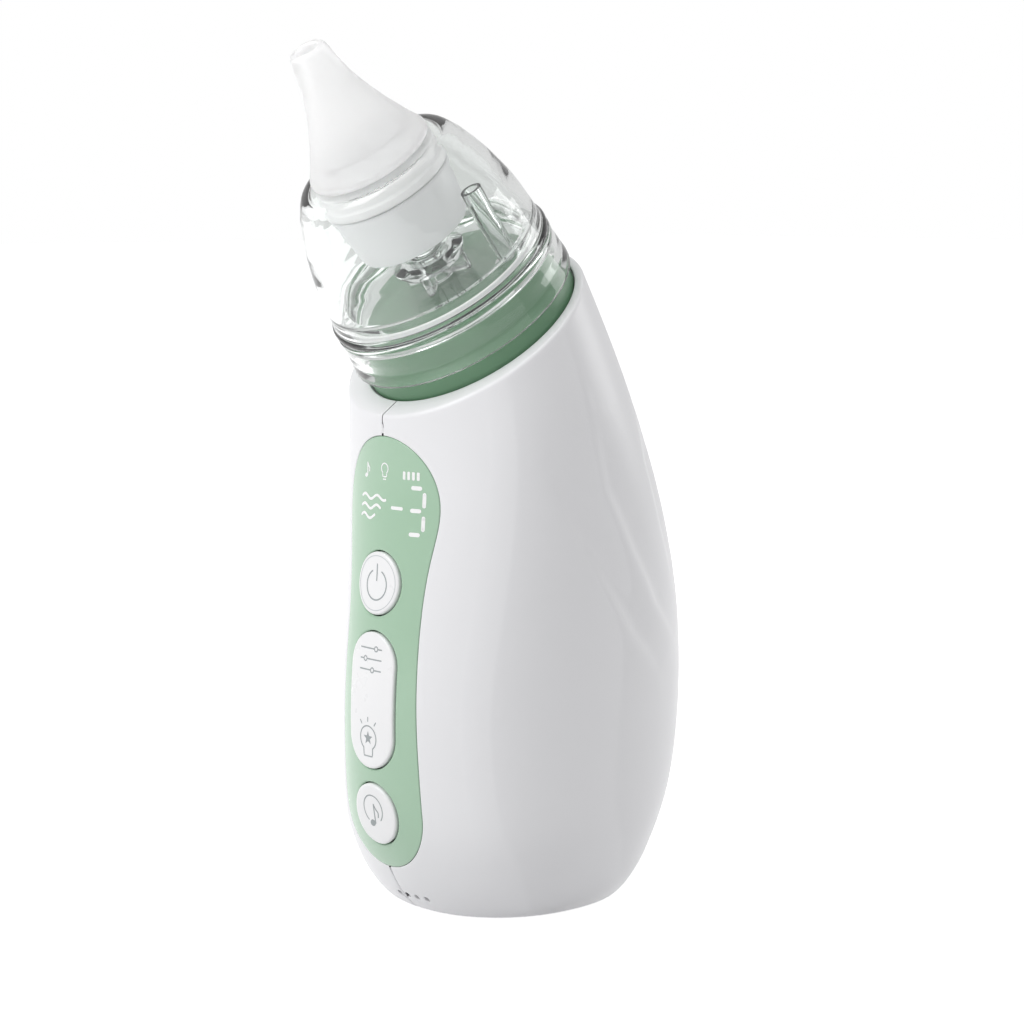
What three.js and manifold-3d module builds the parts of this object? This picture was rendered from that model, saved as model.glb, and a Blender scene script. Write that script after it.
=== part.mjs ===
// Electric nasal aspirator: a hand-held pump body with a clear collection cup and a soft nozzle.
// Millimetres, +Z up. The origin is the centre of the flat base, the control panel faces -Y and
// the neck leans toward -Y. The object is symmetric about X = 0 apart from the cup's air tube.
import * as THREE from 'three';
import * as BufferGeometryUtils from 'three/addons/utils/BufferGeometryUtils.js';
import Module from 'manifold-3d';

const wasm = await Module();
wasm.setup();

// ---------------------------------------------------------------- driving dimensions
const WALL = 2.4;                 // shell wall
const GAP = 0.3;                  // clearance where two pieces meet
const SEAM = 0.1;                 // half of the parting line between the shells
const KEY_RADIUS = 3;             // key on the left shell that locates the halves at the base
const BASE_ROUND = 2.6;           // how far the base edge is drawn in
const BASE_ROUND_HEIGHT = 8;
const OUTER_GRID = [18, 30];      // rows and columns of facets on the body's skin
const INNER_GRID = [9, 18];
const SQUARENESS = 2.2;           // superellipse power at the base, 2 at the collar

const NECK_TILT = THREE.MathUtils.degToRad(37);
const NECK_ORIGIN = new THREE.Vector3(0, -7.5, 107.6);   // where the neck axis meets the collar plane
const COLLAR_RADIUS = 24.3;
const LIP_OFFSET = 1.5;           // the shell's collar sits this far forward of the neck axis
const COLLAR = NECK_ORIGIN.clone().add(
  new THREE.Vector3(0, -Math.cos(NECK_TILT), -Math.sin(NECK_TILT)).multiplyScalar(LIP_OFFSET));
const NECK_AXIS = new THREE.Vector3(0, -Math.sin(NECK_TILT), Math.cos(NECK_TILT));

// Cross-sections of the body, base to collar: [front y, front z, back y, back z, half width].
const collarReach = [COLLAR_RADIUS * Math.cos(NECK_TILT), COLLAR_RADIUS * Math.sin(NECK_TILT)];
const STATIONS = [
  [-22.3, 0, 23.8, 0, 22.2],
  [-25.6, 6, 27.0, 6, 24.5],
  [-29.0, 14, 31.1, 14, 26.8],
  [-30.8, 24, 35.2, 24, 27.2],
  [-31.3, 40, 37.5, 40, 26.9],
  [-29.9, 56, 35.5, 60, 27.4],
  [-28.5, 70, 28.8, 82, 27.6],
  [-27.6, 82, 18.9, 104, 26.8],
  [COLLAR.y - collarReach[0], COLLAR.z - collarReach[1],
    COLLAR.y + collarReach[0], COLLAR.z + collarReach[1], COLLAR_RADIUS],
];
const LAST = STATIONS.length - 1;

// Control panel: a long window with a round head and foot, joined by a slight waist.
const PANEL = { headZ: 75.6, headRadius: 12.5, waistZ: 47, waist: 10, footZ: 20, footRadius: 10.7 };
const PANEL_THICKNESS = 1.3;
const PANEL_LEDGE = 2;            // width of the shell ledge that carries the panel's edge
const PANEL_RECESS = PANEL_THICKNESS + GAP;

const BUTTON_PROUD = 0.45;
const BUTTON_TRAVEL = 0.6;
const FLANGE_WIDTH = 0.9;
const FLANGE = { top: -PANEL_THICKNESS - 0.8, bottom: -PANEL_THICKNESS - 1.6 };
const BUTTONS = [
  { name: 'power_button', z: 61.8, halfWidth: 5.7, halfHeight: 5.7, stems: [0] },
  { name: 'level_light_rocker', z: 40.5, halfWidth: 6.1, halfHeight: 12.5, stems: [-7, 7] },
  { name: 'music_button', z: 19.4, halfWidth: 5.7, halfHeight: 5.7, stems: [0] },
];

const BOARD = { y: -23, thickness: 1.4, halfWidth: 10, bottom: 13.5, top: 83.5 };
const SWITCH = { size: 5, body: 1.8, plunger: 0.7, plungerRadius: 1.4 };
const DISPLAY = { halfWidth: 8.5, bottom: 69.6, top: 81.4, thickness: 1.2 };

const MOTOR = { y: -6.5, radius: 12, bottom: 27, top: 59 };
const PUMP = { radius: 12.4, housingTop: 71, diaphragmTop: 72.7, valveTop: 74.8, coverTop: 79.9 };
const INLET = { radius: 2.4, bore: 1.2, top: 86 };
const OUTLET = { x: -8.6, radius: 2, bore: 1, top: 84 };
const BATTERY = { y: 17.8, radius: 9.15, bottom: 14, top: 79 };
const PLATE = { front: 6.1, back: 7.9, left: -16.9, right: 15.5, bottom: 11, top: 84 };
const MAIN_BOARD = { z: 7.4, thickness: 1.2, halfWidth: 13, front: -8, back: 19 };
const SOCKET = { halfWidth: 4.5, halfHeight: 1.6, z: 10.6, back: 27, length: 7.4 };
const SPEAKER = { radius: 5, thickness: 3, tilt: THREE.MathUtils.degToRad(64), x: 2.4, y: -16.2, z: 7.2 };
const SPEAKER_HOLES = [-1.2, 1.2, 3.6, 6];

// Screws: four run across into bosses on the left shell, two run down into standing bosses.
const CHASSIS_SCREWS = { y: 11.2, heights: [18, 38, 58, 76] };
const BOARD_SCREWS = [[-10, -4], [-10, 15]];
const BOSS = { radius: 2.6, bore: 1.1, face: -17.2 };

// Neck stack, measured along the neck axis from the collar plane.
const SIDES = 24;
const LEDGE = { inner: 17.6, outer: 21.5, bottom: -3.8, top: -2.2 };
const COLLAR_BORE = 21.3;
const PORT = { x: 11.35, y: 7.13, bore: 1.2, outer: 2.4 };   // air port, off to one side
const PORT_TUBE_TOP = 25.5;
const NOZZLE_END = 61;

// ---------------------------------------------------------------- materials
const paint = (color, roughness, metalness = 0) => new THREE.MeshStandardMaterial({ color, roughness, metalness });
const clear = () => new THREE.MeshStandardMaterial({ color: 0xf4f7f6, roughness: 0.06, transparent: true, opacity: 0.35 });
const shellWhite = () => paint(0xe9e9eb, 0.38);
const buttonWhite = () => paint(0xf6f6f6, 0.32);
const panelGreen = () => paint(0xa9c8b2, 0.22);
const seatGreen = () => paint(0x7fae8c, 0.45);
const boardGreen = () => paint(0x1f5b3c, 0.5);
const steel = () => paint(0xb9bcc0, 0.3, 1);
const blackPlastic = () => paint(0x1f2022, 0.45);
const innerPlastic = () => paint(0xd5d8da, 0.55);

const aspirator = new THREE.Group();
const neck = new THREE.Group();
neck.position.copy(NECK_ORIGIN);
neck.rotation.x = NECK_TILT;
aspirator.add(neck);

function place(parent, name, geometry, material) {
  const mesh = new THREE.Mesh(geometry, material);
  mesh.name = name;
  parent.add(mesh);
  return mesh;
}

// ---------------------------------------------------------------- solid helpers
function solid(geometry) {
  const bare = geometry.clone();
  bare.deleteAttribute('normal');
  bare.deleteAttribute('uv');
  const welded = BufferGeometryUtils.mergeVertices(bare, 1e-4);
  return new wasm.Manifold(new wasm.Mesh({
    numProp: 3,
    vertProperties: new Float32Array(welded.attributes.position.array),
    triVerts: new Uint32Array(welded.index.array),
  }));
}

function geometryOf(manifold) {
  const mesh = manifold.getMesh();
  const geometry = new THREE.BufferGeometry();
  geometry.setAttribute('position', new THREE.BufferAttribute(mesh.vertProperties, 3));
  geometry.setIndex(new THREE.BufferAttribute(mesh.triVerts, 1));
  return geometry;
}

const join = (first, ...others) => others.reduce((sum, next) => sum.add(next), first);
const cut = (first, ...others) => others.reduce((sum, next) => sum.subtract(next), first);

function box(x, y, z) {
  const geometry = new THREE.BoxGeometry(x[1] - x[0], y[1] - y[0], z[1] - z[0]);
  return geometry.translate((x[0] + x[1]) / 2, (y[0] + y[1]) / 2, (z[0] + z[1]) / 2);
}

// Upright cylinder between two heights.
function post(radius, bottom, top, x = 0, y = 0, sides = 24) {
  const geometry = new THREE.CylinderGeometry(radius, radius, top - bottom, sides);
  return geometry.rotateX(Math.PI / 2).translate(x, y, (bottom + top) / 2);
}

// Turned piece about +Z from a profile of [radius, height] points, counter-clockwise in section.
function turned(profile, sides = 36) {
  const points = profile.map(([radius, height]) => new THREE.Vector2(radius, height));
  return new THREE.LatheGeometry(points, sides).rotateX(Math.PI / 2);
}

const ring = (inner, outer, bottom, top, sides) => turned(
  [[inner, bottom], [outer, bottom], [outer, top], [inner, top], [inner, bottom]], sides);

function inNeckFrame(geometry) {
  return geometry.rotateX(NECK_TILT).translate(NECK_ORIGIN.x, NECK_ORIGIN.y, NECK_ORIGIN.z);
}

// ---------------------------------------------------------------- body skin
// Natural cubic spline through equally spaced values.
function spline(values) {
  const n = values.length - 1;
  const slopes = new Array(n + 1).fill(0);
  const upper = new Array(n + 1).fill(0);
  const right = new Array(n + 1).fill(0);
  upper[0] = 0.5;
  right[0] = 1.5 * (values[1] - values[0]);
  for (let i = 1; i <= n; i += 1) {
    const weight = i < n ? 4 : 2;
    const pivot = weight - upper[i - 1];
    const rise = i < n ? values[i + 1] - values[i - 1] : values[n] - values[n - 1];
    upper[i] = 1 / pivot;
    right[i] = (3 * rise - right[i - 1]) / pivot;
  }
  slopes[n] = right[n];
  for (let i = n - 1; i >= 0; i -= 1) slopes[i] = right[i] - upper[i] * slopes[i + 1];
  return (u) => {
    const i = Math.min(n - 1, Math.max(0, Math.floor(u)));
    const t = u - i;
    const step = values[i + 1] - values[i];
    const bend = (slopes[i] - step) * (1 - t) - (slopes[i + 1] - step) * t;
    return values[i] + t * (step + (1 - t) * bend);
  };
}

const [frontY, frontZ, backY, backZ, halfWidth] = [0, 1, 2, 3, 4].map(
  (column) => spline(STATIONS.map((station) => station[column])));

// Point of the skin at station u and angle a (0 at the front, a quarter turn at +X),
// moved outward by `offset`.
function skin(u, a, offset) {
  const middle = [(frontY(u) + backY(u)) / 2, (frontZ(u) + backZ(u)) / 2];
  const reach = [(backY(u) - frontY(u)) / 2, (backZ(u) - frontZ(u)) / 2];
  const depth = Math.hypot(...reach);
  const height = Math.max(0, middle[1] + offset);
  const low = Math.max(0, 1 - height / BASE_ROUND_HEIGHT);
  const grow = offset - BASE_ROUND * (1 - Math.sqrt(1 - low * low));
  const power = 2 / THREE.MathUtils.lerp(SQUARENESS, 2, u / LAST);
  const along = Math.sign(Math.cos(a)) * Math.abs(Math.cos(a)) ** power * (1 + grow / depth);
  const across = Math.sign(Math.sin(a)) * Math.abs(Math.sin(a)) ** power;
  return new THREE.Vector3((halfWidth(u) + grow) * across, middle[0] - reach[0] * along, middle[1] - reach[1] * along);
}

// Closed body of the skin at one offset, from the base to the collar and `beyond` past it.
function skinSolid(offset, [rows, columns], beyond = 0) {
  const rings = [];
  for (let row = 0; row <= rows; row += 1) {
    const u = LAST * (row / rows) ** 1.3;
    const points = [];
    for (let column = 0; column < columns; column += 1) {
      points.push(skin(u, (2 * Math.PI * column) / columns, offset));
    }
    rings.push(points);
  }
  if (beyond > 0) rings.push(rings[rows].map((p) => p.clone().addScaledVector(NECK_AXIS, beyond)));
  const positions = [];
  const index = [];
  rings.flat().forEach((p) => positions.push(p.x, p.y, p.z));
  const at = (row, column) => row * columns + (column % columns);
  for (let row = 0; row < rings.length - 1; row += 1) {
    for (let column = 0; column < columns; column += 1) {
      const corners = [at(row, column), at(row, column + 1), at(row + 1, column + 1), at(row + 1, column)];
      index.push(corners[0], corners[1], corners[2], corners[0], corners[2], corners[3]);
    }
  }
  [[rings[0], 0, false], [rings[rings.length - 1], rings.length - 1, true]].forEach(([points, row, top]) => {
    const centre = points.reduce((sum, p) => sum.add(p), new THREE.Vector3()).divideScalar(columns);
    positions.push(centre.x, centre.y, centre.z);
    const hub = positions.length / 3 - 1;
    for (let column = 0; column < columns; column += 1) {
      const edge = [at(row, column), at(row, column + 1)];
      index.push(hub, ...(top ? edge : edge.reverse()));
    }
  });
  const geometry = new THREE.BufferGeometry();
  geometry.setAttribute('position', new THREE.Float32BufferAttribute(positions, 3));
  geometry.setIndex(index);
  return solid(geometry);
}

// Front of the body on its centre plane at height z.
function frontAt(z) {
  let [low, high] = [0, LAST];
  for (let i = 0; i < 40; i += 1) {
    const middle = (low + high) / 2;
    if (frontZ(middle) < z) low = middle;
    else high = middle;
  }
  return frontY(low);
}

// Prism of an outline drawn in (x, z) about height z, running through the body's front along Y.
function frontPrism(shape, z) {
  const geometry = new THREE.ExtrudeGeometry(shape, { depth: 22, bevelEnabled: false, curveSegments: 6 });
  return geometry.rotateX(Math.PI / 2).translate(0, -18, z);
}

function panelOutline(grow) {
  const { headZ, headRadius, waistZ, waist, footZ, footRadius } = PANEL;
  const [head, foot, narrow] = [headRadius + grow, footRadius + grow, waist + grow];
  const shape = new THREE.Shape();
  const [high, low] = [headZ - waistZ, footZ - waistZ];
  shape.moveTo(head, high);
  shape.absarc(0, high, head, 0, Math.PI, false);
  shape.bezierCurveTo(-head, high - 6, -narrow, high - 9, -narrow, 4);
  shape.bezierCurveTo(-narrow, -10, -foot, low + 10, -foot, low);
  shape.absarc(0, low, foot, Math.PI, 2 * Math.PI, false);
  shape.bezierCurveTo(foot, low + 10, narrow, -10, narrow, 4);
  shape.bezierCurveTo(narrow, high - 9, head, high - 6, head, high);
  return shape;
}

// Round or long button outline, grown by a margin.
function buttonOutline(button, grow) {
  const radius = button.halfWidth + grow;
  const straight = button.halfHeight - button.halfWidth;
  const shape = new THREE.Shape();
  shape.absarc(0, straight, radius, 0, Math.PI, false);
  shape.absarc(0, -straight, radius, Math.PI, 2 * Math.PI, false);
  return shape;
}

const panelPrism = (grow) => solid(frontPrism(panelOutline(grow), PANEL.waistZ));
const buttonPrism = (button, grow) => solid(frontPrism(buttonOutline(button, grow), button.z));
// Layer of the body's skin between two offsets.
const layer = (outer, inner) => skinSolid(outer, OUTER_GRID).subtract(skinSolid(inner, OUTER_GRID));

// ---------------------------------------------------------------- shells
function shells() {
  const floor = solid(box([-60, 60], [-70, 70], [WALL, 160]));
  const hollow = skinSolid(-WALL, INNER_GRID, 3).intersect(floor);
  const ledge = inNeckFrame(ring(LEDGE.inner, LEDGE.outer, LEDGE.bottom, LEDGE.top));
  const lip = COLLAR_RADIUS - 0.9;
  const chamfer = turned(
    [[lip, -0.02], [COLLAR_RADIUS + 0.25, -1.2], [30, -1.2], [30, 1], [lip, 1], [lip, -0.02]]);
  const collarBevel = inNeckFrame(chamfer.translate(0, -LIP_OFFSET, 0));
  const recess = panelPrism(GAP).subtract(skinSolid(-PANEL_RECESS, OUTER_GRID));
  let body = join(skinSolid(0, OUTER_GRID).subtract(hollow), solid(ledge), ...bosses());
  const bore = inNeckFrame(post(COLLAR_BORE, LEDGE.top, 2, 0, 0, SIDES));
  body = cut(body, solid(collarBevel), solid(bore), recess, panelPrism(-PANEL_LEDGE));
  body = cut(body, chargingOpening(), ...speakerHoles(), ...bossBores());
  const leftHalf = body.intersect(solid(box([-60, -SEAM], [-80, 80], [-5, 180])));
  const rightHalf = body.intersect(solid(box([SEAM, 60], [-80, 80], [-5, 180])));
  return {
    left: join(leftHalf, solid(post(KEY_RADIUS, 0, WALL, 0, 0, 16))),
    right: cut(rightHalf, solid(post(KEY_RADIUS + GAP, -1, WALL + 1, 0, 0, 16))),
  };
}

// Bar with round ends, long in X, running along Z.
function roundedBar(halfWidthX, halfHeight, depth) {
  const shape = new THREE.Shape();
  shape.absarc(halfWidthX - halfHeight, 0, halfHeight, -Math.PI / 2, Math.PI / 2, false);
  shape.absarc(halfHeight - halfWidthX, 0, halfHeight, Math.PI / 2, 1.5 * Math.PI, false);
  return new THREE.ExtrudeGeometry(shape, { depth, bevelEnabled: false, curveSegments: 6 });
}

// The same bar turned to run forward from y = back.
function socketBar(grow, back, length) {
  const bar = roundedBar(SOCKET.halfWidth + grow, SOCKET.halfHeight + grow, length);
  return bar.rotateX(Math.PI / 2).translate(0, back, SOCKET.z);
}

const chargingOpening = () => solid(socketBar(GAP, SOCKET.back + 4, 10));

function speakerHoles() {
  return SPEAKER_HOLES.map((x) => {
    const hole = post(0.55, -16, 0, 0, 0, 8);
    return solid(hole.rotateX(-SPEAKER.tilt).translate(x, SPEAKER.y, SPEAKER.z));
  });
}

// Cylinder lying along X.
function across(radius, fromX, toX, y, z, sides = 10) {
  const geometry = new THREE.CylinderGeometry(radius, radius, toX - fromX, sides);
  return geometry.rotateZ(Math.PI / 2).translate((fromX + toX) / 2, y, z);
}

function bosses() {
  const inside = skinSolid(-WALL / 2, INNER_GRID);
  const { y, heights } = CHASSIS_SCREWS;
  const arms = heights.map((z) => solid(across(BOSS.radius, -40, BOSS.face, y, z)).intersect(inside));
  const stands = BOARD_SCREWS.map(([x, back]) => solid(post(2.4, 1, MAIN_BOARD.z - GAP, x, back, 10)));
  return [...arms, ...stands];
}

function bossBores() {
  const { y, heights } = CHASSIS_SCREWS;
  const arms = heights.map((z) => solid(across(BOSS.bore, BOSS.face - 5, BOSS.face + 1, y, z, 8)));
  const stands = BOARD_SCREWS.map(([x, back]) => solid(post(BOSS.bore, 3.2, MAIN_BOARD.z + 1, x, back, 10)));
  return [...arms, ...stands];
}

const { left, right } = shells();
place(aspirator, 'left_shell', geometryOf(left), shellWhite());
place(aspirator, 'right_shell', geometryOf(right), shellWhite());

// ---------------------------------------------------------------- control panel and buttons
const panelSlab = layer(0, -PANEL_THICKNESS).intersect(panelPrism(0));
const panel = cut(panelSlab, ...BUTTONS.map((button) => buttonPrism(button, GAP)));
place(aspirator, 'control_panel', geometryOf(panel), panelGreen());

const plungerTip = BOARD.y - SWITCH.body - SWITCH.plunger;

// Cylinder lying along Y.
function forward(radius, fromY, toY, x, z, sides = 10) {
  const geometry = new THREE.CylinderGeometry(radius, radius, toY - fromY, sides);
  return geometry.translate(x, (fromY + toY) / 2, z);
}

for (const button of BUTTONS) {
  const cap = layer(BUTTON_PROUD, FLANGE.bottom).intersect(buttonPrism(button, 0));
  const flange = layer(FLANGE.top, FLANGE.bottom).intersect(buttonPrism(button, FLANGE_WIDTH));
  const stemTip = plungerTip - BUTTON_TRAVEL - 0.1;
  const stems = button.stems.map((rise) => {
    const root = frontAt(button.z + rise) - FLANGE.bottom - 0.6;
    return solid(forward(1.5, root, stemTip, 0, button.z + rise));
  });
  place(aspirator, button.name, geometryOf(join(cap, flange, ...stems)), buttonWhite());
}

// ---------------------------------------------------------------- boards
const boardBack = BOARD.y + BOARD.thickness;
place(aspirator, 'button_board',
  box([-BOARD.halfWidth, BOARD.halfWidth], [BOARD.y, boardBack], [BOARD.bottom, BOARD.top]), boardGreen());
place(aspirator, 'display_module',
  box([-DISPLAY.halfWidth, DISPLAY.halfWidth], [BOARD.y - 0.1 - DISPLAY.thickness, BOARD.y - 0.1],
    [DISPLAY.bottom, DISPLAY.top]), paint(0xe8efe9, 0.4));

const [power, rocker, music] = BUTTONS;
const SWITCHES = {
  power_switch: power.z,
  light_switch: rocker.z + rocker.stems[0],
  level_switch: rocker.z + rocker.stems[1],
  music_switch: music.z,
};
for (const [name, z] of Object.entries(SWITCHES)) {
  const half = SWITCH.size / 2;
  const housing = box([-half, half], [BOARD.y - SWITCH.body, BOARD.y - 0.05], [z - half, z + half]);
  const plunger = forward(SWITCH.plungerRadius, plungerTip, BOARD.y - SWITCH.body + 0.3, 0, z, 12);
  place(aspirator, name, geometryOf(join(solid(housing), solid(plunger))), blackPlastic());
}

const boardTop = MAIN_BOARD.z + MAIN_BOARD.thickness;
const mainBoard = cut(
  solid(box([-MAIN_BOARD.halfWidth, MAIN_BOARD.halfWidth], [MAIN_BOARD.front, MAIN_BOARD.back],
    [MAIN_BOARD.z, boardTop])),
  ...BOARD_SCREWS.map(([x, y]) => solid(post(1.3, MAIN_BOARD.z - 1, boardTop + 1, x, y, 12))));
place(aspirator, 'main_board', geometryOf(mainBoard), boardGreen());

const socketShell = solid(socketBar(0, SOCKET.back - 0.6, SOCKET.length));
const socketMouth = solid(socketBar(-0.35, SOCKET.back + 0.4, SOCKET.length - 0.4));
const tongue = solid(box([-3.3, 3.3], [SOCKET.back - 7.2, SOCKET.back - 2], [SOCKET.z - 0.35, SOCKET.z + 0.35]));
place(aspirator, 'charging_socket', geometryOf(join(cut(socketShell, socketMouth), tongue)), steel());

const speaker = post(SPEAKER.radius, 0.4, SPEAKER.thickness, 0, 0, 14);
speaker.rotateX(-SPEAKER.tilt).translate(SPEAKER.x, SPEAKER.y, SPEAKER.z);
place(aspirator, 'speaker', speaker, blackPlastic());

// ---------------------------------------------------------------- battery, motor and pump
place(aspirator, 'battery_cell', post(BATTERY.radius, BATTERY.bottom, BATTERY.top, 0, BATTERY.y, 20),
  paint(0x3d78b5, 0.35));

function motorGeometry() {
  const { y, radius, bottom, top } = MOTOR;
  const can = solid(post(radius, bottom, top - 1, 0, y, 20));
  return geometryOf(join(can, solid(post(4, top - 1.2, top, 0, y, 20)), solid(post(3.2, bottom - 1, bottom + 0.2, 0, y, 20))));
}
place(aspirator, 'pump_motor', motorGeometry(), steel());

const GROMMET = { bottom: 25.3, top: 26.8 };
place(aspirator, 'motor_grommet', ring(3.8, 8, GROMMET.bottom, GROMMET.top, 24).translate(0, MOTOR.y, 0),
  paint(0x2a2a2c, 0.8));

function crankGeometry() {
  const shaft = solid(post(1, MOTOR.top + 0.2, 62.4, 0, MOTOR.y, 12));
  const disc = solid(post(6, 62.2, 65, 0, MOTOR.y, 24));
  const pin = solid(post(1.2, 64.8, 67.6, 2.6, MOTOR.y, 12));
  return geometryOf(join(shaft, disc, pin));
}
place(aspirator, 'pump_crank', crankGeometry(), paint(0xd9c9a0, 0.4));

function housingGeometry() {
  const outer = solid(post(PUMP.radius, MOTOR.top + 0.1, PUMP.housingTop, 0, MOTOR.y, 20));
  const chamber = solid(post(10.4, MOTOR.top + 1.8, PUMP.housingTop + 1, 0, MOTOR.y, 20));
  const shaftHole = solid(post(1.6, MOTOR.top - 1, MOTOR.top + 3, 0, MOTOR.y, 14));
  return geometryOf(cut(outer, chamber, shaftHole));
}
place(aspirator, 'pump_housing', housingGeometry(), innerPlastic());

// Three pump chambers stand on a circle about the motor's axis.
const chambers = [0, 1, 2].map((k) => {
  const angle = Math.PI / 2 + (2 * Math.PI * k) / 3;
  return [6.4 * Math.cos(angle), MOTOR.y + 6.4 * Math.sin(angle)];
});
const diaphragm = join(
  solid(post(PUMP.radius, PUMP.housingTop + 0.1, PUMP.diaphragmTop, 0, MOTOR.y, 20)),
  ...chambers.map(([x, y]) => solid(post(3, 69.2, PUMP.housingTop + 0.3, x, y, 16))));
place(aspirator, 'pump_diaphragm', geometryOf(diaphragm), paint(0x2f3133, 0.8));

const valvePlate = cut(
  solid(post(PUMP.radius, PUMP.diaphragmTop + 0.1, PUMP.valveTop, 0, MOTOR.y, 20)),
  ...chambers.map(([x, y]) => solid(post(1, PUMP.diaphragmTop, PUMP.valveTop + 1, x, y, 10))));
place(aspirator, 'pump_valve_plate', geometryOf(valvePlate), innerPlastic());

function coverGeometry() {
  const lid = solid(post(PUMP.radius, PUMP.valveTop + 0.1, PUMP.coverTop, 0, MOTOR.y, 20));
  const nipples = [[0, INLET], [OUTLET.x, OUTLET]];
  const spouts = nipples.map(([x, { radius, top }]) => solid(post(radius, PUMP.coverTop - 1, top, x, MOTOR.y, 16)));
  const bores = nipples.map(([x, { bore, top }]) => solid(post(bore, PUMP.valveTop, top + 1, x, MOTOR.y, 10)));
  return geometryOf(cut(join(lid, ...spouts), ...bores));
}
place(aspirator, 'pump_cover', coverGeometry(), innerPlastic());

place(aspirator, 'exhaust_muffler',
  turned([[2.3, 80.1], [4.2, 80.1], [4.2, 90], [3.4, 91], [0.8, 91], [0.8, 85], [2.3, 85], [2.3, 80.1]], 16)
    .translate(OUTLET.x, MOTOR.y, 0), paint(0x6d6f72, 0.9));

// ---------------------------------------------------------------- chassis
function chassisGeometry() {
  const { front, back, left: edge, right: far, bottom, top } = PLATE;
  const plate = solid(box([edge, far], [front, back], [bottom, top]));
  const shelves = [[12.6, 13.9], [79.1, 80.6]].map(([low, high]) => solid(box([-8, 8], [back - 0.5, 24], [low, high])));
  const motorShelf = solid(box([-9, 9], [-15.5, front + 0.5], [23, 25.1]));
  const yoke = solid(ring(MOTOR.radius + 0.3, MOTOR.radius + 1.8, 44, 48, 20).translate(0, MOTOR.y, 0));
  const { y, heights } = CHASSIS_SCREWS;
  const tabs = heights.map((z) => solid(box([edge, edge + 1.6], [back - 0.5, y + 3], [z - 3, z + 3])));
  const holes = heights.map((z) => solid(across(1.3, edge - 1, edge + 3, y, z, 12)));
  return geometryOf(cut(join(plate, ...shelves, motorShelf, yoke, ...tabs), ...holes));
}
place(aspirator, 'chassis', chassisGeometry(), innerPlastic());

// Pan-head screw pointing along -Z with its seat at height 0.
function screwGeometry(length) {
  const shank = solid(post(0.9, -length, 0.4, 0, 0, 8));
  const head = solid(post(1.9, 0, 1.3, 0, 0, 10));
  const slot = solid(box([-1.3, 1.3], [-0.25, 0.25], [0.7, 2]));
  return geometryOf(cut(join(head, shank), slot));
}
CHASSIS_SCREWS.heights.forEach((z, i) => {
  const screw = place(aspirator, `chassis_screw_${i + 1}`, screwGeometry(5), steel());
  screw.rotation.y = Math.PI / 2;
  screw.position.set(PLATE.left + 1.7, CHASSIS_SCREWS.y, z);
});
BOARD_SCREWS.forEach(([x, y], i) => {
  const screw = place(aspirator, `board_screw_${i + 1}`, screwGeometry(4.6), steel());
  screw.position.set(x, y, boardTop + 0.1);
});

// ---------------------------------------------------------------- seat at the top of the body
function atPort(radius, bottom, top, sides = 14) {
  return solid(post(radius, bottom, top, PORT.x, PORT.y, sides));
}

place(neck, 'seat_gasket', ring(18.3, 20.6, LEDGE.top + 0.1, -1.4, SIDES), paint(0xf2f2f2, 0.7));

function seatGeometry() {
  const plug = solid(turned([
    [16.6, -1.3], [21, -1.3], [21, 0], [20.5, 3], [18.5, 4.4], [17.9, 6.8], [17.3, 8.3], [15.8, 9], [0, 9],
    [0, 7], [14.8, 7], [15.8, 6], [16.6, 3], [16.6, -1.3]], SIDES));
  return geometryOf(cut(join(plug, atPort(PORT.outer, -9, 7.5)), atPort(PORT.bore, -10, 10, 10)));
}
place(neck, 'pump_seat', seatGeometry(), seatGreen());

const lightBoard = cut(solid(ring(4, 16.2, -1.2, -0.2, 20)), atPort(PORT.outer + 0.5, -3, 2));
const lights = [0, 1, 2].map((k) => {
  const angle = Math.PI * (0.75 + 0.5 * k);
  const lamp = box([-1.6, 1.6], [-1.6, 1.6], [-0.4, 1]).translate(10 * Math.cos(angle), 10 * Math.sin(angle), 0);
  return solid(lamp);
});
place(neck, 'light_board', geometryOf(join(lightBoard, ...lights)), boardGreen());

place(neck, 'port_seal', ring(1.5, 2.8, 9.1, 10, 16).translate(PORT.x, PORT.y, 0), paint(0xf2f2f2, 0.6));

// Suction hose from the pump's inlet up to the seat's port nipple.
function hoseGeometry() {
  neck.updateMatrixWorld();
  const onNeck = (height) => neck.localToWorld(new THREE.Vector3(PORT.x, PORT.y, height));
  const start = new THREE.Vector3(0, MOTOR.y, PUMP.coverTop + 0.3);
  const bendStart = new THREE.Vector3(0, MOTOR.y, INLET.top + 0.3);
  const [bendEnd, end] = [onNeck(-9.4), onNeck(-3.2)];
  const path = new THREE.CurvePath();
  path.add(new THREE.LineCurve3(start, bendStart));
  path.add(new THREE.CubicBezierCurve3(bendStart, bendStart.clone().setZ(INLET.top + 4),
    bendEnd.clone().addScaledVector(NECK_AXIS, -4), bendEnd));
  path.add(new THREE.LineCurve3(bendEnd, end));
  const section = new THREE.Shape().absarc(0, 0, 3.8, 0, 2 * Math.PI, false);
  section.holes.push(new THREE.Path().absarc(0, 0, 2.95, 0, 2 * Math.PI, true));
  return new THREE.ExtrudeGeometry(section, { extrudePath: path, steps: 14, curveSegments: 4 });
}
place(aspirator, 'suction_hose', hoseGeometry(), paint(0xe6e6e2, 0.5));

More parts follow.
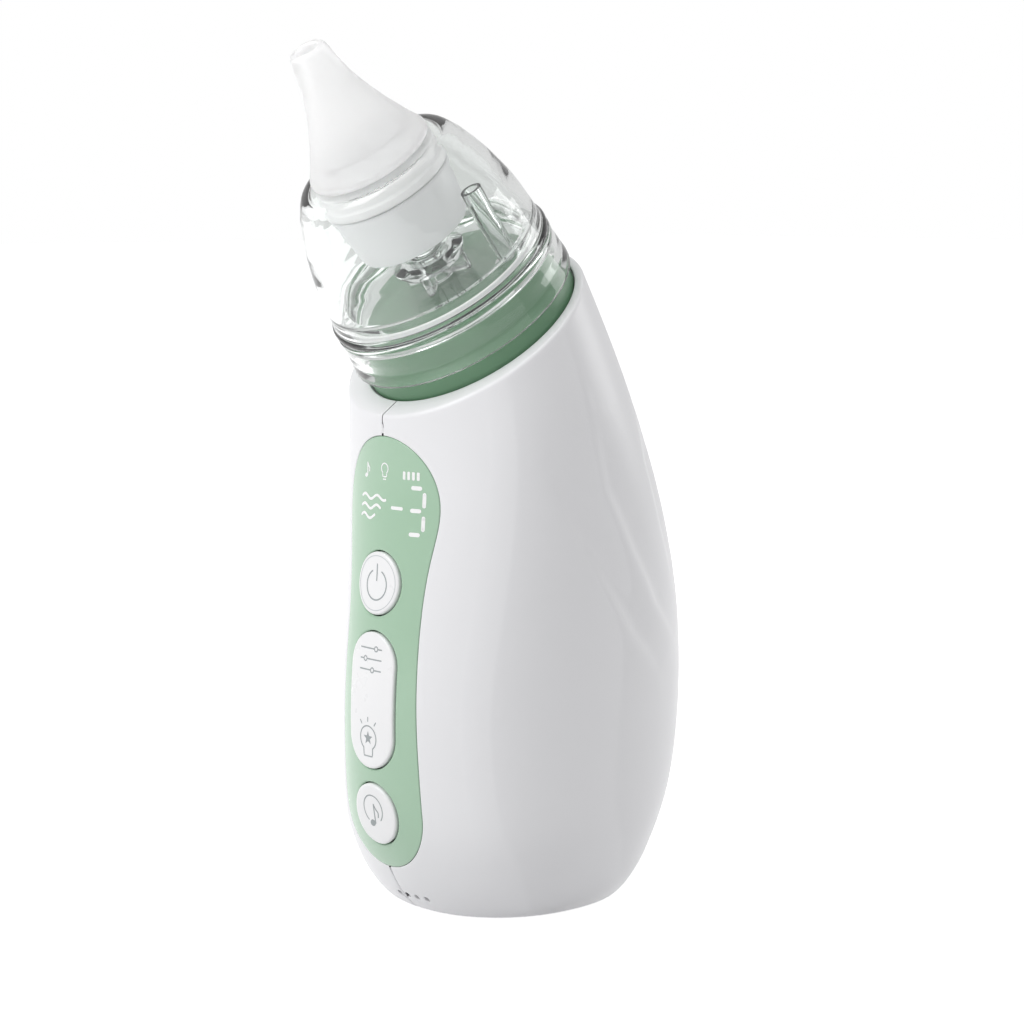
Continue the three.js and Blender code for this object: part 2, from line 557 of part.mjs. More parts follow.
// ---------------------------------------------------------------- collection cup
function cupBaseGeometry() {
  const bowl = solid(turned([
    [20.9, 3.3], [22.3, 3.3], [22.35, 4], [21.7, 9.6], [21.95, 10.1], [21.95, 10.9], [21.6, 11.2], [19, 11.3],
    [19, 15], [17.6, 15], [17.4, 12.2], [16.6, 11.7], [0, 11.7], [0, 10.1], [17.6, 10.1], [18.9, 8.9], [19.4, 7],
    [19.5, 5], [20.9, 3.7], [20.9, 3.3]], SIDES));
  return geometryOf(cut(join(bowl, atPort(1.9, 11, PORT_TUBE_TOP)), atPort(PORT.bore, 9, 30, 10)));
}
place(neck, 'cup_base', cupBaseGeometry(), clear());

// Splash baffle: a low cap on four fins that keeps liquid away from the air tube.
function baffleGeometry() {
  const cap = solid(turned([[2.4, 16], [7, 15.2], [7.2, 16], [4.6, 17.4], [2.4, 17.9], [2.4, 16]], 16));
  const fins = [0, 1, 2, 3].map((k) => solid(box([2, 6.6], [-0.5, 0.5], [11.9, 15.7]).rotateZ((k * Math.PI) / 2 + 0.5)));
  const foot = solid(ring(1.4, 3, 11.9, 16.5, 12));
  return geometryOf(join(cap, foot, ...fins));
}
place(neck, 'splash_baffle', baffleGeometry(), clear());

place(neck, 'cup_seal', ring(19.1, 19.7, 12.2, 13.4, SIDES), paint(0xf4f4f4, 0.6));

function domeGeometry() {
  return turned([
    [19.9, 11.4], [21.6, 11.4], [21.95, 11.8], [21.95, 12.6], [21.45, 13.1], [20.9, 19], [19.8, 24.6], [17.9, 30.7],
    [15.3, 36], [13.2, 37.6], [8.6, 37.6], [8.6, 41.5], [7.5, 41.5], [7.5, 36.6], [12.9, 36.3], [16.2, 30],
    [18, 24.2], [19.4, 15.6], [19.9, 15.2], [19.9, 11.4]], SIDES);
}
place(neck, 'cup_dome', domeGeometry(), clear());

place(neck, 'neck_ring', turned([
  [7.5, 32.4], [12, 32.4], [12.2, 32.8], [12.2, 34], [11.8, 34.3], [11.8, 36.1], [7.5, 36.1], [7.5, 32.4]], SIDES),
paint(0xf0f0f0, 0.4));

function sleeveGeometry() {
  return turned([
    [9.6, 21.5], [10.6, 21.5], [11.9, 31.6], [11.7, 32.1], [7.2, 32.1], [7.2, 41], [6.2, 41], [6.2, 31.1],
    [10.7, 31.1], [9.6, 21.5]], SIDES);
}
place(neck, 'inlet_sleeve', sleeveGeometry(), paint(0xcfcfcf, 0.6));

// ---------------------------------------------------------------- nozzle
function nozzleGeometry() {
  const mouth = NOZZLE_END;
  return turned([
    [8.9, 37.9], [11.3, 37.9], [11.7, 38.4], [11.6, 39.2], [10.4, 41], [8.1, 45.4], [6.4, 49.2], [4.7, 54],
    [3.5, mouth - 0.4], [3.1, mouth], [1.9, mouth], [2.4, 56], [4.3, 51], [6.6, 46], [8.9, 42], [8.9, 37.9]], 20);
}
place(neck, 'nozzle_tip', nozzleGeometry(), paint(0xf5f5f5, 0.45));

export default aspirator;
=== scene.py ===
"""Electric nasal aspirator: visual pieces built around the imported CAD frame.

Working lengths in this file are millimetres; make_piece() turns them into metres.
"""

import math

import bpy
import bmesh
import numpy as np
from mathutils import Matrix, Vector


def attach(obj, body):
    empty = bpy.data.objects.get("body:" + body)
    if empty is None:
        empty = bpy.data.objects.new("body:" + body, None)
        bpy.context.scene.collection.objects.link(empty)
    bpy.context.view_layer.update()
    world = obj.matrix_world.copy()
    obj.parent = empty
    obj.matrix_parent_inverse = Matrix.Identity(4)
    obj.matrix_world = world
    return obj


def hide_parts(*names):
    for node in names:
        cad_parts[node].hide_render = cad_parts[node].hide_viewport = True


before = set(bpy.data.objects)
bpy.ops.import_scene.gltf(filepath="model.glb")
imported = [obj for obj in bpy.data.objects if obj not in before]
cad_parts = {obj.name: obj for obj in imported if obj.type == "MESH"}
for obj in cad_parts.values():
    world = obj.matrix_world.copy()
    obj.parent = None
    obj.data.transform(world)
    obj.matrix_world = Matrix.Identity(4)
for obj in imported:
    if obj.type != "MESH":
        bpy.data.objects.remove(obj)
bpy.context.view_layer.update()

MM = 0.001

# ------------------------------------------------------------------ body skin (as the CAD shells)
BASE_ROUND = 2.6
BASE_ROUND_HEIGHT = 8.0
SQUARENESS = 2.2
TILT = math.radians(37)
NECK = np.array([0.0, -7.5, 107.6])
COLLAR_RADIUS = 24.3
LIP_OFFSET = 1.5
COLLAR = NECK + LIP_OFFSET * np.array([0, -math.cos(TILT), -math.sin(TILT)])
REACH = COLLAR_RADIUS * np.array([math.cos(TILT), math.sin(TILT)])
# Cross-sections from base to collar: front y, front z, back y, back z, half width.
STATIONS = np.array([
    [-22.3, 0, 23.8, 0, 22.2],
    [-25.6, 6, 27.0, 6, 24.5],
    [-29.0, 14, 31.1, 14, 26.8],
    [-30.8, 24, 35.2, 24, 27.2],
    [-31.3, 40, 37.5, 40, 26.9],
    [-29.9, 56, 35.5, 60, 27.4],
    [-28.5, 70, 28.8, 82, 27.6],
    [-27.6, 82, 18.9, 104, 26.8],
    [COLLAR[1] - REACH[0], COLLAR[2] - REACH[1], COLLAR[1] + REACH[0], COLLAR[2] + REACH[1], COLLAR_RADIUS],
], float)
LAST = len(STATIONS) - 1


def spline_slopes(values):
    """Slopes of the natural cubic spline through equally spaced rows of values."""
    count = len(values)
    bands = np.zeros((count, count))
    right = np.zeros_like(values)
    for i in range(count):
        before, after = max(i - 1, 0), min(i + 1, count - 1)
        bands[i, before] += 1
        bands[i, after] += 1
        bands[i, i] += 4 if 0 < i < count - 1 else 1
        right[i] = 3 * (values[after] - values[before])
    return np.linalg.solve(bands, right)


SLOPES = spline_slopes(STATIONS)


def section(u):
    """Interpolated cross-section at station u."""
    u = np.asarray(u, float)
    i = np.clip(np.floor(u).astype(int), 0, LAST - 1)
    t = (u - i)[..., None]
    step = STATIONS[i + 1] - STATIONS[i]
    bend = (SLOPES[i] - step) * (1 - t) - (SLOPES[i + 1] - step) * t
    return STATIONS[i] + t * (step + (1 - t) * bend)


def section_shape(u):
    """Half width, middle, reach, drawn-in base factor and superellipse power at station u."""
    s = section(u)
    middle = np.stack([(s[..., 0] + s[..., 2]) / 2, (s[..., 1] + s[..., 3]) / 2], -1)
    reach = np.stack([(s[..., 2] - s[..., 0]) / 2, (s[..., 3] - s[..., 1]) / 2], -1)
    low = np.maximum(0, 1 - np.maximum(0, middle[..., 1]) / BASE_ROUND_HEIGHT)
    grow = -BASE_ROUND * (1 - np.sqrt(np.maximum(0, 1 - low * low)))
    power = 2 / (SQUARENESS + (2 - SQUARENESS) * np.asarray(u) / LAST)
    return s[..., 4] + grow, middle, reach, 1 + grow / np.hypot(reach[..., 0], reach[..., 1]), power


def skin(u, a):
    """Points of the body's skin; angle a is 0 at the front and a quarter turn at +X."""
    half, middle, reach, draw, power = section_shape(u)
    along = np.sign(np.cos(a)) * np.abs(np.cos(a)) ** power * draw
    across = np.sign(np.sin(a)) * np.abs(np.sin(a)) ** power
    return np.stack([half * across, middle[..., 0] - reach[..., 0] * along,
                     middle[..., 1] - reach[..., 1] * along], -1)


def skin_normal(u, a):
    """Outward unit normals of the skin."""
    du, da = 0.004, 0.004
    up = skin(np.minimum(u + du, LAST), a) - skin(np.maximum(u - du, 0), a)
    around = skin(u, a + da) - skin(u, a - da)
    normal = np.cross(around, up)
    return normal / np.linalg.norm(normal, axis=-1, keepdims=True)


def skin_params(x, z, back=False):
    """Station and angle of the skin point on the front (or back) at the given x and height z."""
    x, z = np.broadcast_arrays(np.asarray(x, float), np.asarray(z, float))
    low, high = np.zeros(x.shape), np.full(x.shape, float(LAST))
    side = -1 if back else 1
    for _ in range(34):
        u = (low + high) / 2
        half, middle, reach, draw, power = section_shape(u)
        across = np.minimum(np.abs(x) / half, 1) ** (1 / power)
        along = np.sqrt(np.maximum(0, 1 - across ** 2)) ** power * draw * side
        under = middle[..., 1] - reach[..., 1] * along < z
        low, high = np.where(under, u, low), np.where(under, high, u)
    a = np.arcsin(across)
    return u, np.sign(x) * (math.pi - a if back else a)


def on_skin(x, z, offset=0.0, back=False):
    """Skin points at x and z, moved outward by an offset."""
    u, a = skin_params(x, z, back)
    return skin(u, a) + skin_normal(u, a) * np.asarray(offset, float)[..., None]


def from_neck(points):
    """Neck frame (x, y, height along the neck axis) to the object's frame."""
    x, y, h = points[..., 0], points[..., 1], points[..., 2]
    return np.stack([x, NECK[1] + y * math.cos(TILT) - h * math.sin(TILT),
                     NECK[2] + y * math.sin(TILT) + h * math.cos(TILT)], -1)


# ------------------------------------------------------------------ mesh helpers
class Sheet:
    """Collects quad grids and faces that make one piece."""

    def __init__(self):
        self.points, self.faces, self.count = [], [], 0

    def grid(self, points, closed=False, flip=False, keep=None):
        """Quads over rows of points; closed joins each row's ends, keep picks the quads."""
        rows, columns = points.shape[:2]
        index = np.arange(rows * columns).reshape(rows, columns) + self.count
        if closed:
            index = np.concatenate([index, index[:, :1]], 1)
        quads = np.stack([index[:-1, :-1], index[:-1, 1:], index[1:, 1:], index[1:, :-1]], -1)
        if keep is not None:
            quads = quads[keep]
        quads = quads.reshape(-1, 4)
        self.faces += (quads[:, ::-1] if flip else quads).tolist()
        self.points.append(points.reshape(-1, 3))
        self.count += rows * columns
        return self

    def loft(self, rings, flip=False):
        """Closed rings joined one to the next."""
        return self.grid(np.stack(rings), True, flip)


def make_piece(name, sheet, body, material, stands_for=(), weld=0.002):
    """Turns a sheet into a smooth mesh object that rides on a CAD body."""
    mesh = bpy.data.meshes.new(name)
    mesh.from_pydata((np.concatenate(sheet.points) * MM).tolist(), [], sheet.faces)
    if weld:
        work = bmesh.new()
        work.from_mesh(mesh)
        bmesh.ops.remove_doubles(work, verts=work.verts, dist=weld * MM)
        bmesh.ops.dissolve_degenerate(work, edges=work.edges, dist=weld * MM * 0.2)
        work.to_mesh(mesh)
        work.free()
    mesh.polygons.foreach_set("use_smooth", [True] * len(mesh.polygons))
    mesh.materials.append(material)
    obj = bpy.data.objects.new(name, mesh)
    bpy.context.scene.collection.objects.link(obj)
    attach(obj, body)
    if stands_for:
        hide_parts(*stands_for)
    return obj


def filleted(profile, radius, steps=4):
    """Closed [radius, height] profile with each corner rounded."""
    points = np.array(profile, float)
    if np.allclose(points[0], points[-1]):
        points = points[:-1]
    made = []
    for i, corner in enumerate(points):
        before, after = points[i - 1] - corner, points[(i + 1) % len(points)] - corner
        reach = min(radius, 0.42 * np.linalg.norm(before), 0.42 * np.linalg.norm(after))
        on_axis = corner[0] < 1e-6
        if on_axis or reach < 0.02:
            made.append(corner)
            continue
        start = corner + before / np.linalg.norm(before) * reach
        end = corner + after / np.linalg.norm(after) * reach
        for t in np.linspace(0, 1, steps + 1):
            made.append((1 - t) ** 2 * start + 2 * t * (1 - t) * corner + t * t * end)
    return np.array(made)


def turned(sheet, profile, radius=0.3, sides=192, centre=(0.0, 0.0)):
    """Adds a body turned about the neck axis from a closed profile, counter-clockwise in section."""
    outline = filleted(profile, radius)
    outline = np.concatenate([outline, outline[:1]])
    angle = np.linspace(0, 2 * math.pi, sides, endpoint=False)
    r, h = outline[:, :1], outline[:, 1:]
    points = np.stack([centre[0] + r * np.sin(angle), centre[1] - r * np.cos(angle),
                       np.broadcast_to(h, (len(outline), sides))], -1)
    return sheet.grid(from_neck(points), closed=True)


def bezier(p0, p1, p2, p3, count):
    """Points of a cubic curve, without its last one."""
    t = np.linspace(0, 1, count, endpoint=False)[:, None]
    points = [np.array(p, float) for p in (p0, p1, p2, p3)]
    return ((1 - t) ** 3 * points[0] + 3 * t * (1 - t) ** 2 * points[1]
            + 3 * t * t * (1 - t) * points[2] + t ** 3 * points[3])


def arc(centre, radius, start, end, count):
    """Points of an arc, without its last one."""
    t = np.linspace(start, end, count, endpoint=False)
    return np.stack([centre[0] + radius * np.cos(t), centre[1] + radius * np.sin(t)], -1)


def even(points, count, closed=True):
    """The same line resampled at equal steps."""
    line = np.concatenate([points, points[:1]]) if closed else np.asarray(points, float)
    length = np.concatenate([[0], np.cumsum(np.linalg.norm(np.diff(line, axis=0), axis=1))])
    at = np.linspace(0, length[-1], count, endpoint=not closed)
    return np.stack([np.interp(at, length, line[:, k]) for k in range(line.shape[1])], -1)


def outward(outline):
    """Unit normals pointing out of a counter-clockwise closed outline."""
    along = np.roll(outline, -1, 0) - np.roll(outline, 1, 0)
    normal = np.stack([along[:, 1], -along[:, 0]], -1)
    return normal / np.linalg.norm(normal, axis=1, keepdims=True)


def signed_distance(x, z, outline):
    """Distance outside (+) or inside (-) a closed outline of (x, z) points."""
    start, end = outline, np.roll(outline, -1, 0)
    best = np.full(x.shape, 1e9)
    inside = np.zeros(x.shape, bool)
    for (ax, az), (bx, bz) in zip(start, end):
        dx, dz = bx - ax, bz - az
        t = np.clip(((x - ax) * dx + (z - az) * dz) / (dx * dx + dz * dz), 0, 1)
        best = np.minimum(best, np.hypot(x - ax - t * dx, z - az - t * dz))
        crosses = (az > z) != (bz > z)
        inside ^= crosses & (x < dx * (z - az) / (dz if dz else 1e-12) + ax)
    return np.where(inside, -best, best)


PANEL = dict(head_z=75.6, head=12.5, waist_z=47.0, waist=10.0, foot_z=20.0, foot=10.7)
PANEL_THICKNESS = 1.3
RECESS_GAP = 0.3            # clearance of the panel in its recess
PANEL_FIT = 0.21            # the panel's pressed edge, grown into the CAD clearance
BUTTON_FIT = 0.25           # clearance seen round a key
BUTTON_PROUD = 0.45
KEY_DISH, KEY_DISH_EDGE = 0.18, 0.8         # depth of the thumb dish, and its distance from the key's edge
KEY_FLANGE = 0.8            # hidden flange that keeps a key in its hole
RIM_LIFT = 0.006


def panel_outline(count=360):
    """Counter-clockwise outline of the control panel seen from the front."""
    head, foot, narrow = PANEL["head"], PANEL["foot"], PANEL["waist"]
    high, low, middle = PANEL["head_z"], PANEL["foot_z"], PANEL["waist_z"]
    right = np.concatenate([
        bezier((foot, low), (foot, low + 10), (narrow, middle - 10), (narrow, middle + 4), 60),
        bezier((narrow, middle + 4), (narrow, high - 9), (head, high - 6), (head, high), 60)])
    left = right[::-1] * [-1, 1]
    return even(np.concatenate([
        right, arc((0, high), head, 0, math.pi, 90),
        left, arc((0, low), foot, math.pi, 2 * math.pi, 90)]), count)


def button_outline(z, half_width, half_height, count=144):
    """Outline of a key or its hole: two half rounds with straight sides between."""
    straight = half_height - half_width
    return even(np.concatenate([
        arc((0, z + straight), half_width, 0, math.pi, 60),
        arc((0, z - straight), half_width, math.pi, 2 * math.pi, 60)]), count)


BUTTONS = {
    "power_button": dict(z=61.8, half_width=5.7, half_height=5.7, body="power_cap"),
    "level_light_rocker": dict(z=40.5, half_width=6.1, half_height=12.5, body="rocker_cap"),
    "music_button": dict(z=19.4, half_width=5.7, half_height=5.7, body="music_cap"),
}


def button_straight(button):
    """Half length of a key's straight sides."""
    return button["half_height"] - button["half_width"]


def grown_button(button, grow):
    """A key's outline, grown all round."""
    return button_outline(button["z"], button["half_width"] + grow, button["half_height"] + grow)


def dish_depth(button, x, z):
    """Depth of a key's thumb dish at (x, z)."""
    straight = button_straight(button)
    reach = np.hypot(x, z - np.clip(z, button["z"] - straight, button["z"] + straight))
    return KEY_DISH * np.maximum(0, 1 - (reach / (button["half_width"] - KEY_DISH_EDGE)) ** 2)


def rim(sheet, outline, depth, spread, radius, back=False):
    """Rounded edge and wall of an opening; it overlaps the surrounding surface by `spread`."""
    normal = outward(outline)
    turns = np.linspace(0, math.pi / 2, 6)
    profile = [(spread, RIM_LIFT), (spread * 0.6, RIM_LIFT), (radius * 1.4, RIM_LIFT)]
    profile += [(radius * (1 - math.sin(t)), -radius * (1 - math.cos(t))) for t in turns]
    profile += [(0.0, -(radius + (depth - radius) * k)) for k in (0.3, 0.65, 1.0)]
    rings = []
    for distance, offset in profile:
        at = outline + normal * distance
        rings.append(on_skin(at[:, 0], at[:, 1], np.full(len(at), offset), back))
    return sheet.loft(rings, flip=back)


# ------------------------------------------------------------------ finishes
def new_group(name, inputs, outputs):
    """Shader node group with named sockets; inputs and outputs are (name, kind, value)."""
    group = bpy.data.node_groups.new(name, "ShaderNodeTree")
    kinds = {"value": "NodeSocketFloat", "colour": "NodeSocketColor", "vector": "NodeSocketVector"}
    for label, kind, value in inputs:
        socket = group.interface.new_socket(label, in_out="INPUT", socket_type=kinds[kind])
        if value is not None:
            socket.default_value = value
    for label, kind in outputs:
        group.interface.new_socket(label, in_out="OUTPUT", socket_type=kinds[kind])
    return group, group.nodes.new("NodeGroupInput"), group.nodes.new("NodeGroupOutput")


def link(tree, start, end):
    """Joins an output socket to an input socket."""
    tree.links.new(start, end)


def node(tree, kind, **values):
    """New node; values that name an input set it, others are the node's own settings."""
    made = tree.nodes.new(kind)
    for key, value in values.items():
        label = key.replace("_", " ")
        if hasattr(made, key):
            setattr(made, key, value)
        elif label in made.inputs:
            made.inputs[label].default_value = value
        else:
            made.inputs[label.title()].default_value = value
    return made


def noise(tree, vector, scale_socket=None, factor=1.0, **values):
    """Noise texture whose scale is a group's Scale input times a factor."""
    texture = node(tree, "ShaderNodeTexNoise", **values)
    link(tree, vector, texture.inputs["Vector"])
    if scale_socket is not None:
        times = node(tree, "ShaderNodeMath", operation="MULTIPLY")
        times.inputs[1].default_value = factor
        link(tree, scale_socket, times.inputs[0])
        link(tree, times.outputs[0], texture.inputs["Scale"])
    return texture


def ramp(tree, source, low, high, to_low=0.0, to_high=1.0):
    """Maps a value from one range to another, held at the ends."""
    made = node(tree, "ShaderNodeMapRange")
    for label, value in (("From Min", low), ("From Max", high), ("To Min", to_low), ("To Max", to_high)):
        made.inputs[label].default_value = value
    link(tree, source, made.inputs["Value"])
    return made.outputs["Result"]


def grain_group():
    """Fine moulded texture: a spark-eroded grain over a slow flow waviness."""
    g, given, out = new_group("moulded_grain", [
        ("Place", "vector", None), ("Scale", "value", 2600.0), ("Flow", "value", 0.35)],
        [("Height", "value")])
    fine = noise(g, given.outputs["Place"], given.outputs["Scale"], Detail=3.0, Roughness=0.6)
    slow = noise(g, given.outputs["Place"], given.outputs["Scale"], 0.045, Detail=1.0)
    mixed = node(g, "ShaderNodeMix", data_type="FLOAT")
    link(g, given.outputs["Flow"], mixed.inputs[0])
    link(g, fine.outputs[0], mixed.inputs[2])
    link(g, slow.outputs[0], mixed.inputs[3])
    link(g, mixed.outputs[0], out.inputs["Height"])
    return g


def handling_group():
    """Where fingers have left the surface a little smoother or duller, and a mask of those places."""
    g, given, out = new_group("handling", [
        ("Place", "vector", None), ("Scale", "value", 60.0), ("Roughness", "value", 0.4),
        ("Spread", "value", 0.08)], [("Roughness", "value"), ("Mask", "value")])
    broad = noise(g, given.outputs["Place"], given.outputs["Scale"], Detail=4.0, Roughness=0.55,
                  Distortion=0.6)
    streak = noise(g, given.outputs["Place"], given.outputs["Scale"], 9.0, Detail=2.0)
    both = node(g, "ShaderNodeMath", operation="MULTIPLY_ADD")
    both.inputs[1].default_value = 0.3
    link(g, streak.outputs[0], both.inputs[0])
    link(g, broad.outputs[0], both.inputs[2])
    mask = ramp(g, both.outputs[0], 0.45, 0.85)
    centred = node(g, "ShaderNodeMath", operation="SUBTRACT")
    centred.inputs[1].default_value = 0.5
    link(g, mask, centred.inputs[0])
    rough = node(g, "ShaderNodeMath", operation="MULTIPLY_ADD")
    link(g, centred.outputs[0], rough.inputs[0])
    link(g, given.outputs["Spread"], rough.inputs[1])
    link(g, given.outputs["Roughness"], rough.inputs[2])
    link(g, rough.outputs[0], out.inputs["Roughness"])
    link(g, mask, out.inputs["Mask"])
    return g


def tint_group():
    """Resin colour with slow drift and tiny pigment specks."""
    g, given, out = new_group("resin_tint", [
        ("Place", "vector", None), ("Colour", "colour", (0.8, 0.8, 0.8, 1)),
        ("Deep colour", "colour", (0.7, 0.7, 0.7, 1)), ("Drift", "value", 0.25), ("Specks", "value", 0.15)],
        [("Colour", "colour")])
    slow = noise(g, given.outputs["Place"], Scale=38.0, Detail=2.0)
    drift = node(g, "ShaderNodeMath", operation="MULTIPLY")
    link(g, ramp(g, slow.outputs[0], 0.35, 0.7), drift.inputs[0])
    link(g, given.outputs["Drift"], drift.inputs[1])
    speck = noise(g, given.outputs["Place"], Scale=1900.0, Detail=1.0)
    dots = node(g, "ShaderNodeMath", operation="MULTIPLY")
    link(g, ramp(g, speck.outputs[0], 0.66, 0.74), dots.inputs[0])
    link(g, given.outputs["Specks"], dots.inputs[1])
    total = node(g, "ShaderNodeMath", operation="ADD", use_clamp=True)
    link(g, drift.outputs[0], total.inputs[0])
    link(g, dots.outputs[0], total.inputs[1])
    mixed = node(g, "ShaderNodeMix", data_type="RGBA")
    link(g, total.outputs[0], mixed.inputs[0])
    link(g, given.outputs["Colour"], mixed.inputs[6])
    link(g, given.outputs["Deep colour"], mixed.inputs[7])
    link(g, mixed.outputs[2], out.inputs["Colour"])
    return g


GRAIN, HANDLING, TINT = grain_group(), handling_group(), tint_group()
HANDLING_SCALE = 60.0


def placed(tree, group, place, **values):
    """A shader node group put into a material, with its inputs set."""
    made = tree.nodes.new("ShaderNodeGroup")
    made.node_tree = group
    link(tree, place, made.inputs["Place"])
    for key, value in values.items():
        made.inputs[key.replace("_", " ")].default_value = value
    return made


def srgb(red, green, blue):
    """Display colour 0-255 to the shader's linear colour."""
    made = []
    for value in (red, green, blue):
        c = value / 255
        made.append(c / 12.92 if c <= 0.04045 else ((c + 0.055) / 1.055) ** 2.4)
    return (*made, 1.0)


def shade(colour, factor):
    """The same colour, darker."""
    return (*[c * factor for c in colour[:3]], 1.0)


def finish(name, colour, roughness, deep=0.9, drift=0.25, specks=0.0, spread=0.06,
           grain=2600.0, flow=0.35, bump=0.06, depth=0.02, **shader):
    """Moulded material: resin tint, handling marks and grain, with the shader's plain values."""
    made = bpy.data.materials.new(name)
    made.use_nodes = True
    tree = made.node_tree
    bsdf = tree.nodes["Principled BSDF"]
    place = tree.nodes.new("ShaderNodeTexCoord").outputs["Object"]
    tint = placed(tree, TINT, place, Colour=colour, Deep_colour=shade(colour, deep), Drift=drift,
                  Specks=specks)
    marks = placed(tree, HANDLING, place, Roughness=roughness, Spread=spread, Scale=HANDLING_SCALE)
    texture = placed(tree, GRAIN, place, Scale=grain, Flow=flow)
    relief = node(tree, "ShaderNodeBump", Strength=bump, Distance=depth * MM)
    link(tree, texture.outputs["Height"], relief.inputs["Height"])
    link(tree, tint.outputs["Colour"], bsdf.inputs["Base Color"])
    link(tree, marks.outputs["Roughness"], bsdf.inputs["Roughness"])
    link(tree, relief.outputs["Normal"], bsdf.inputs["Normal"])
    for key, value in shader.items():
        bsdf.inputs[key.replace("_", " ")].default_value = value
    return made


WHITE = srgb(241, 241, 243)
shell_white = finish("shell_white", WHITE, 0.36, deep=0.96, bump=0.5, depth=0.03, grain=2400.0,
                     Coat_Weight=0.12, Coat_Roughness=0.25)
panel_green = finish("panel_green", srgb(166, 199, 172), 0.2, deep=0.94, bump=0.12, grain=1500.0, flow=0.7,
                     Coat_Weight=0.45, Coat_Roughness=0.08)
button_white = finish("button_white", srgb(244, 244, 245), 0.3, deep=0.97, bump=0.25, Coat_Weight=0.15,
                      Coat_Roughness=0.15)
print_white = finish("print_white", srgb(250, 250, 250), 0.5, specks=0.02, bump=0.1)
print_grey = finish("print_grey", srgb(160, 166, 168), 0.5, deep=0.9, bump=0.15)
ring_grey = finish("ring_grey", srgb(206, 210, 212), 0.4, deep=0.95, bump=0.1)
clear_plastic = finish("clear_plastic", srgb(250, 252, 251), 0.03, deep=0.985, drift=0.3, spread=0.03,
                       bump=0.03, grain=600.0, flow=0.8, Transmission_Weight=1.0, IOR=1.46)
# The faint white emission is painted light: a glow that brightens the soft tip, which gives no light of its
# own.
nozzle_silicone = finish("nozzle_silicone", srgb(253, 253, 253), 0.36, deep=0.98, specks=0.02, bump=0.2,
                         Transmission_Weight=0.6, Subsurface_Weight=0.2, Subsurface_Scale=0.004,
                         Subsurface_Radius=(1, 1, 1), Emission_Color=(1, 1, 1, 1),
                         Emission_Strength=0.06, IOR=1.25)
# Light reaches what is inside the cup: the clear walls hold back little of it.
clear_tree = clear_plastic.node_tree
clear_ray = clear_tree.nodes.new("ShaderNodeLightPath")
lit = node(clear_tree, "ShaderNodeMath", operation="MAXIMUM")
link(clear_tree, clear_ray.outputs["Is Shadow Ray"], lit.inputs[0])
link(clear_tree, clear_ray.outputs["Is Diffuse Ray"], lit.inputs[1])
link(clear_tree, ramp(clear_tree, lit.outputs[0], 0.0, 1.0, 1.0, 0.12),
     clear_tree.nodes["Principled BSDF"].inputs["Alpha"])
ring_white = finish("ring_white", srgb(252, 252, 252), 0.35, deep=0.97, bump=0.1,
                    Subsurface_Weight=0.6, Subsurface_Scale=0.005, Subsurface_Radius=(1, 1, 1))
sleeve_grey = finish("sleeve_grey", srgb(236, 237, 238), 0.42, deep=0.96, bump=0.2,
                     Subsurface_Weight=0.5, Subsurface_Scale=0.004, Subsurface_Radius=(1, 1, 1))
seat_green = finish("seat_green", srgb(100, 140, 108), 0.4, deep=0.9, bump=0.3)
white_silicone = finish("white_silicone", srgb(236, 237, 236), 0.55, deep=0.95, bump=0.2,
                        Subsurface_Weight=0.2, Subsurface_Scale=0.002, Subsurface_Radius=(1, 1, 1))
inner_plastic = finish("inner_plastic", srgb(212, 215, 217), 0.5, deep=0.88, bump=0.4)
crank_plastic = finish("crank_plastic", srgb(222, 208, 168), 0.42, deep=0.88, bump=0.3)
black_plastic = finish("black_plastic", srgb(34, 35, 37), 0.45, deep=0.7, bump=0.5)
black_rubber = finish("black_rubber", srgb(44, 44, 46), 0.75, deep=0.75, bump=0.6, grain=1800.0)
battery_sleeve = finish("battery_sleeve", srgb(62, 118, 178), 0.32, deep=0.8, drift=0.4, bump=0.25, flow=0.8)
circuit_green = finish("circuit_green", srgb(32, 92, 60), 0.42, deep=0.6, drift=0.7, specks=0.5, bump=0.5,
                       grain=900.0)
bright_steel = finish("bright_steel", srgb(188, 191, 196), 0.28, deep=0.85, drift=0.4, bump=0.3, grain=3500.0,
                      Metallic=1.0)
felt_grey = finish("felt_grey", srgb(112, 114, 117), 0.95, deep=0.6, drift=0.6, specks=0.6, bump=1.0,
                   depth=0.2, grain=1500.0, flow=0.1, Sheen_Weight=0.4)
# Painted shade: the dark colour seen inside the speaker holes.
painted_hole_shade = finish("painted_hole_shade", srgb(70, 72, 74), 0.95, deep=0.5, drift=0.5, specks=0.6, bump=1.0, depth=0.1,
                   grain=2600.0, flow=0.1)
display_white = finish("display_white", srgb(226, 236, 228), 0.35, deep=0.93, bump=0.1)
# Painted shade: the colour of the dark ring seen in the gap round each key.
gap_shade_paint = finish("gap_shade_paint", srgb(126, 140, 130), 0.7, deep=0.8, bump=0.4)

# ------------------------------------------------------------------ finishes of the pieces kept from the CAD
KEPT = {
    "button_board": circuit_green, "main_board": circuit_green, "light_board": circuit_green,
    "display_module": display_white, "power_switch": black_plastic, "light_switch": black_plastic,
    "level_switch": black_plastic, "music_switch": black_plastic, "charging_socket": bright_steel,
    "speaker": black_plastic, "battery_cell": battery_sleeve, "pump_motor": bright_steel,
    "motor_grommet": black_rubber, "pump_crank": crank_plastic, "pump_housing": inner_plastic,
    "pump_diaphragm": black_rubber, "pump_valve_plate": inner_plastic, "pump_cover": inner_plastic,
    "exhaust_muffler": felt_grey, "chassis": inner_plastic, "seat_gasket": white_silicone,
    "port_seal": white_silicone, "suction_hose": white_silicone,
}
for name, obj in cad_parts.items():
    kept = KEPT.get(name, bright_steel if "screw" in name else None)
    if kept is not None:
        obj.data.materials.clear()
        obj.data.materials.append(kept)

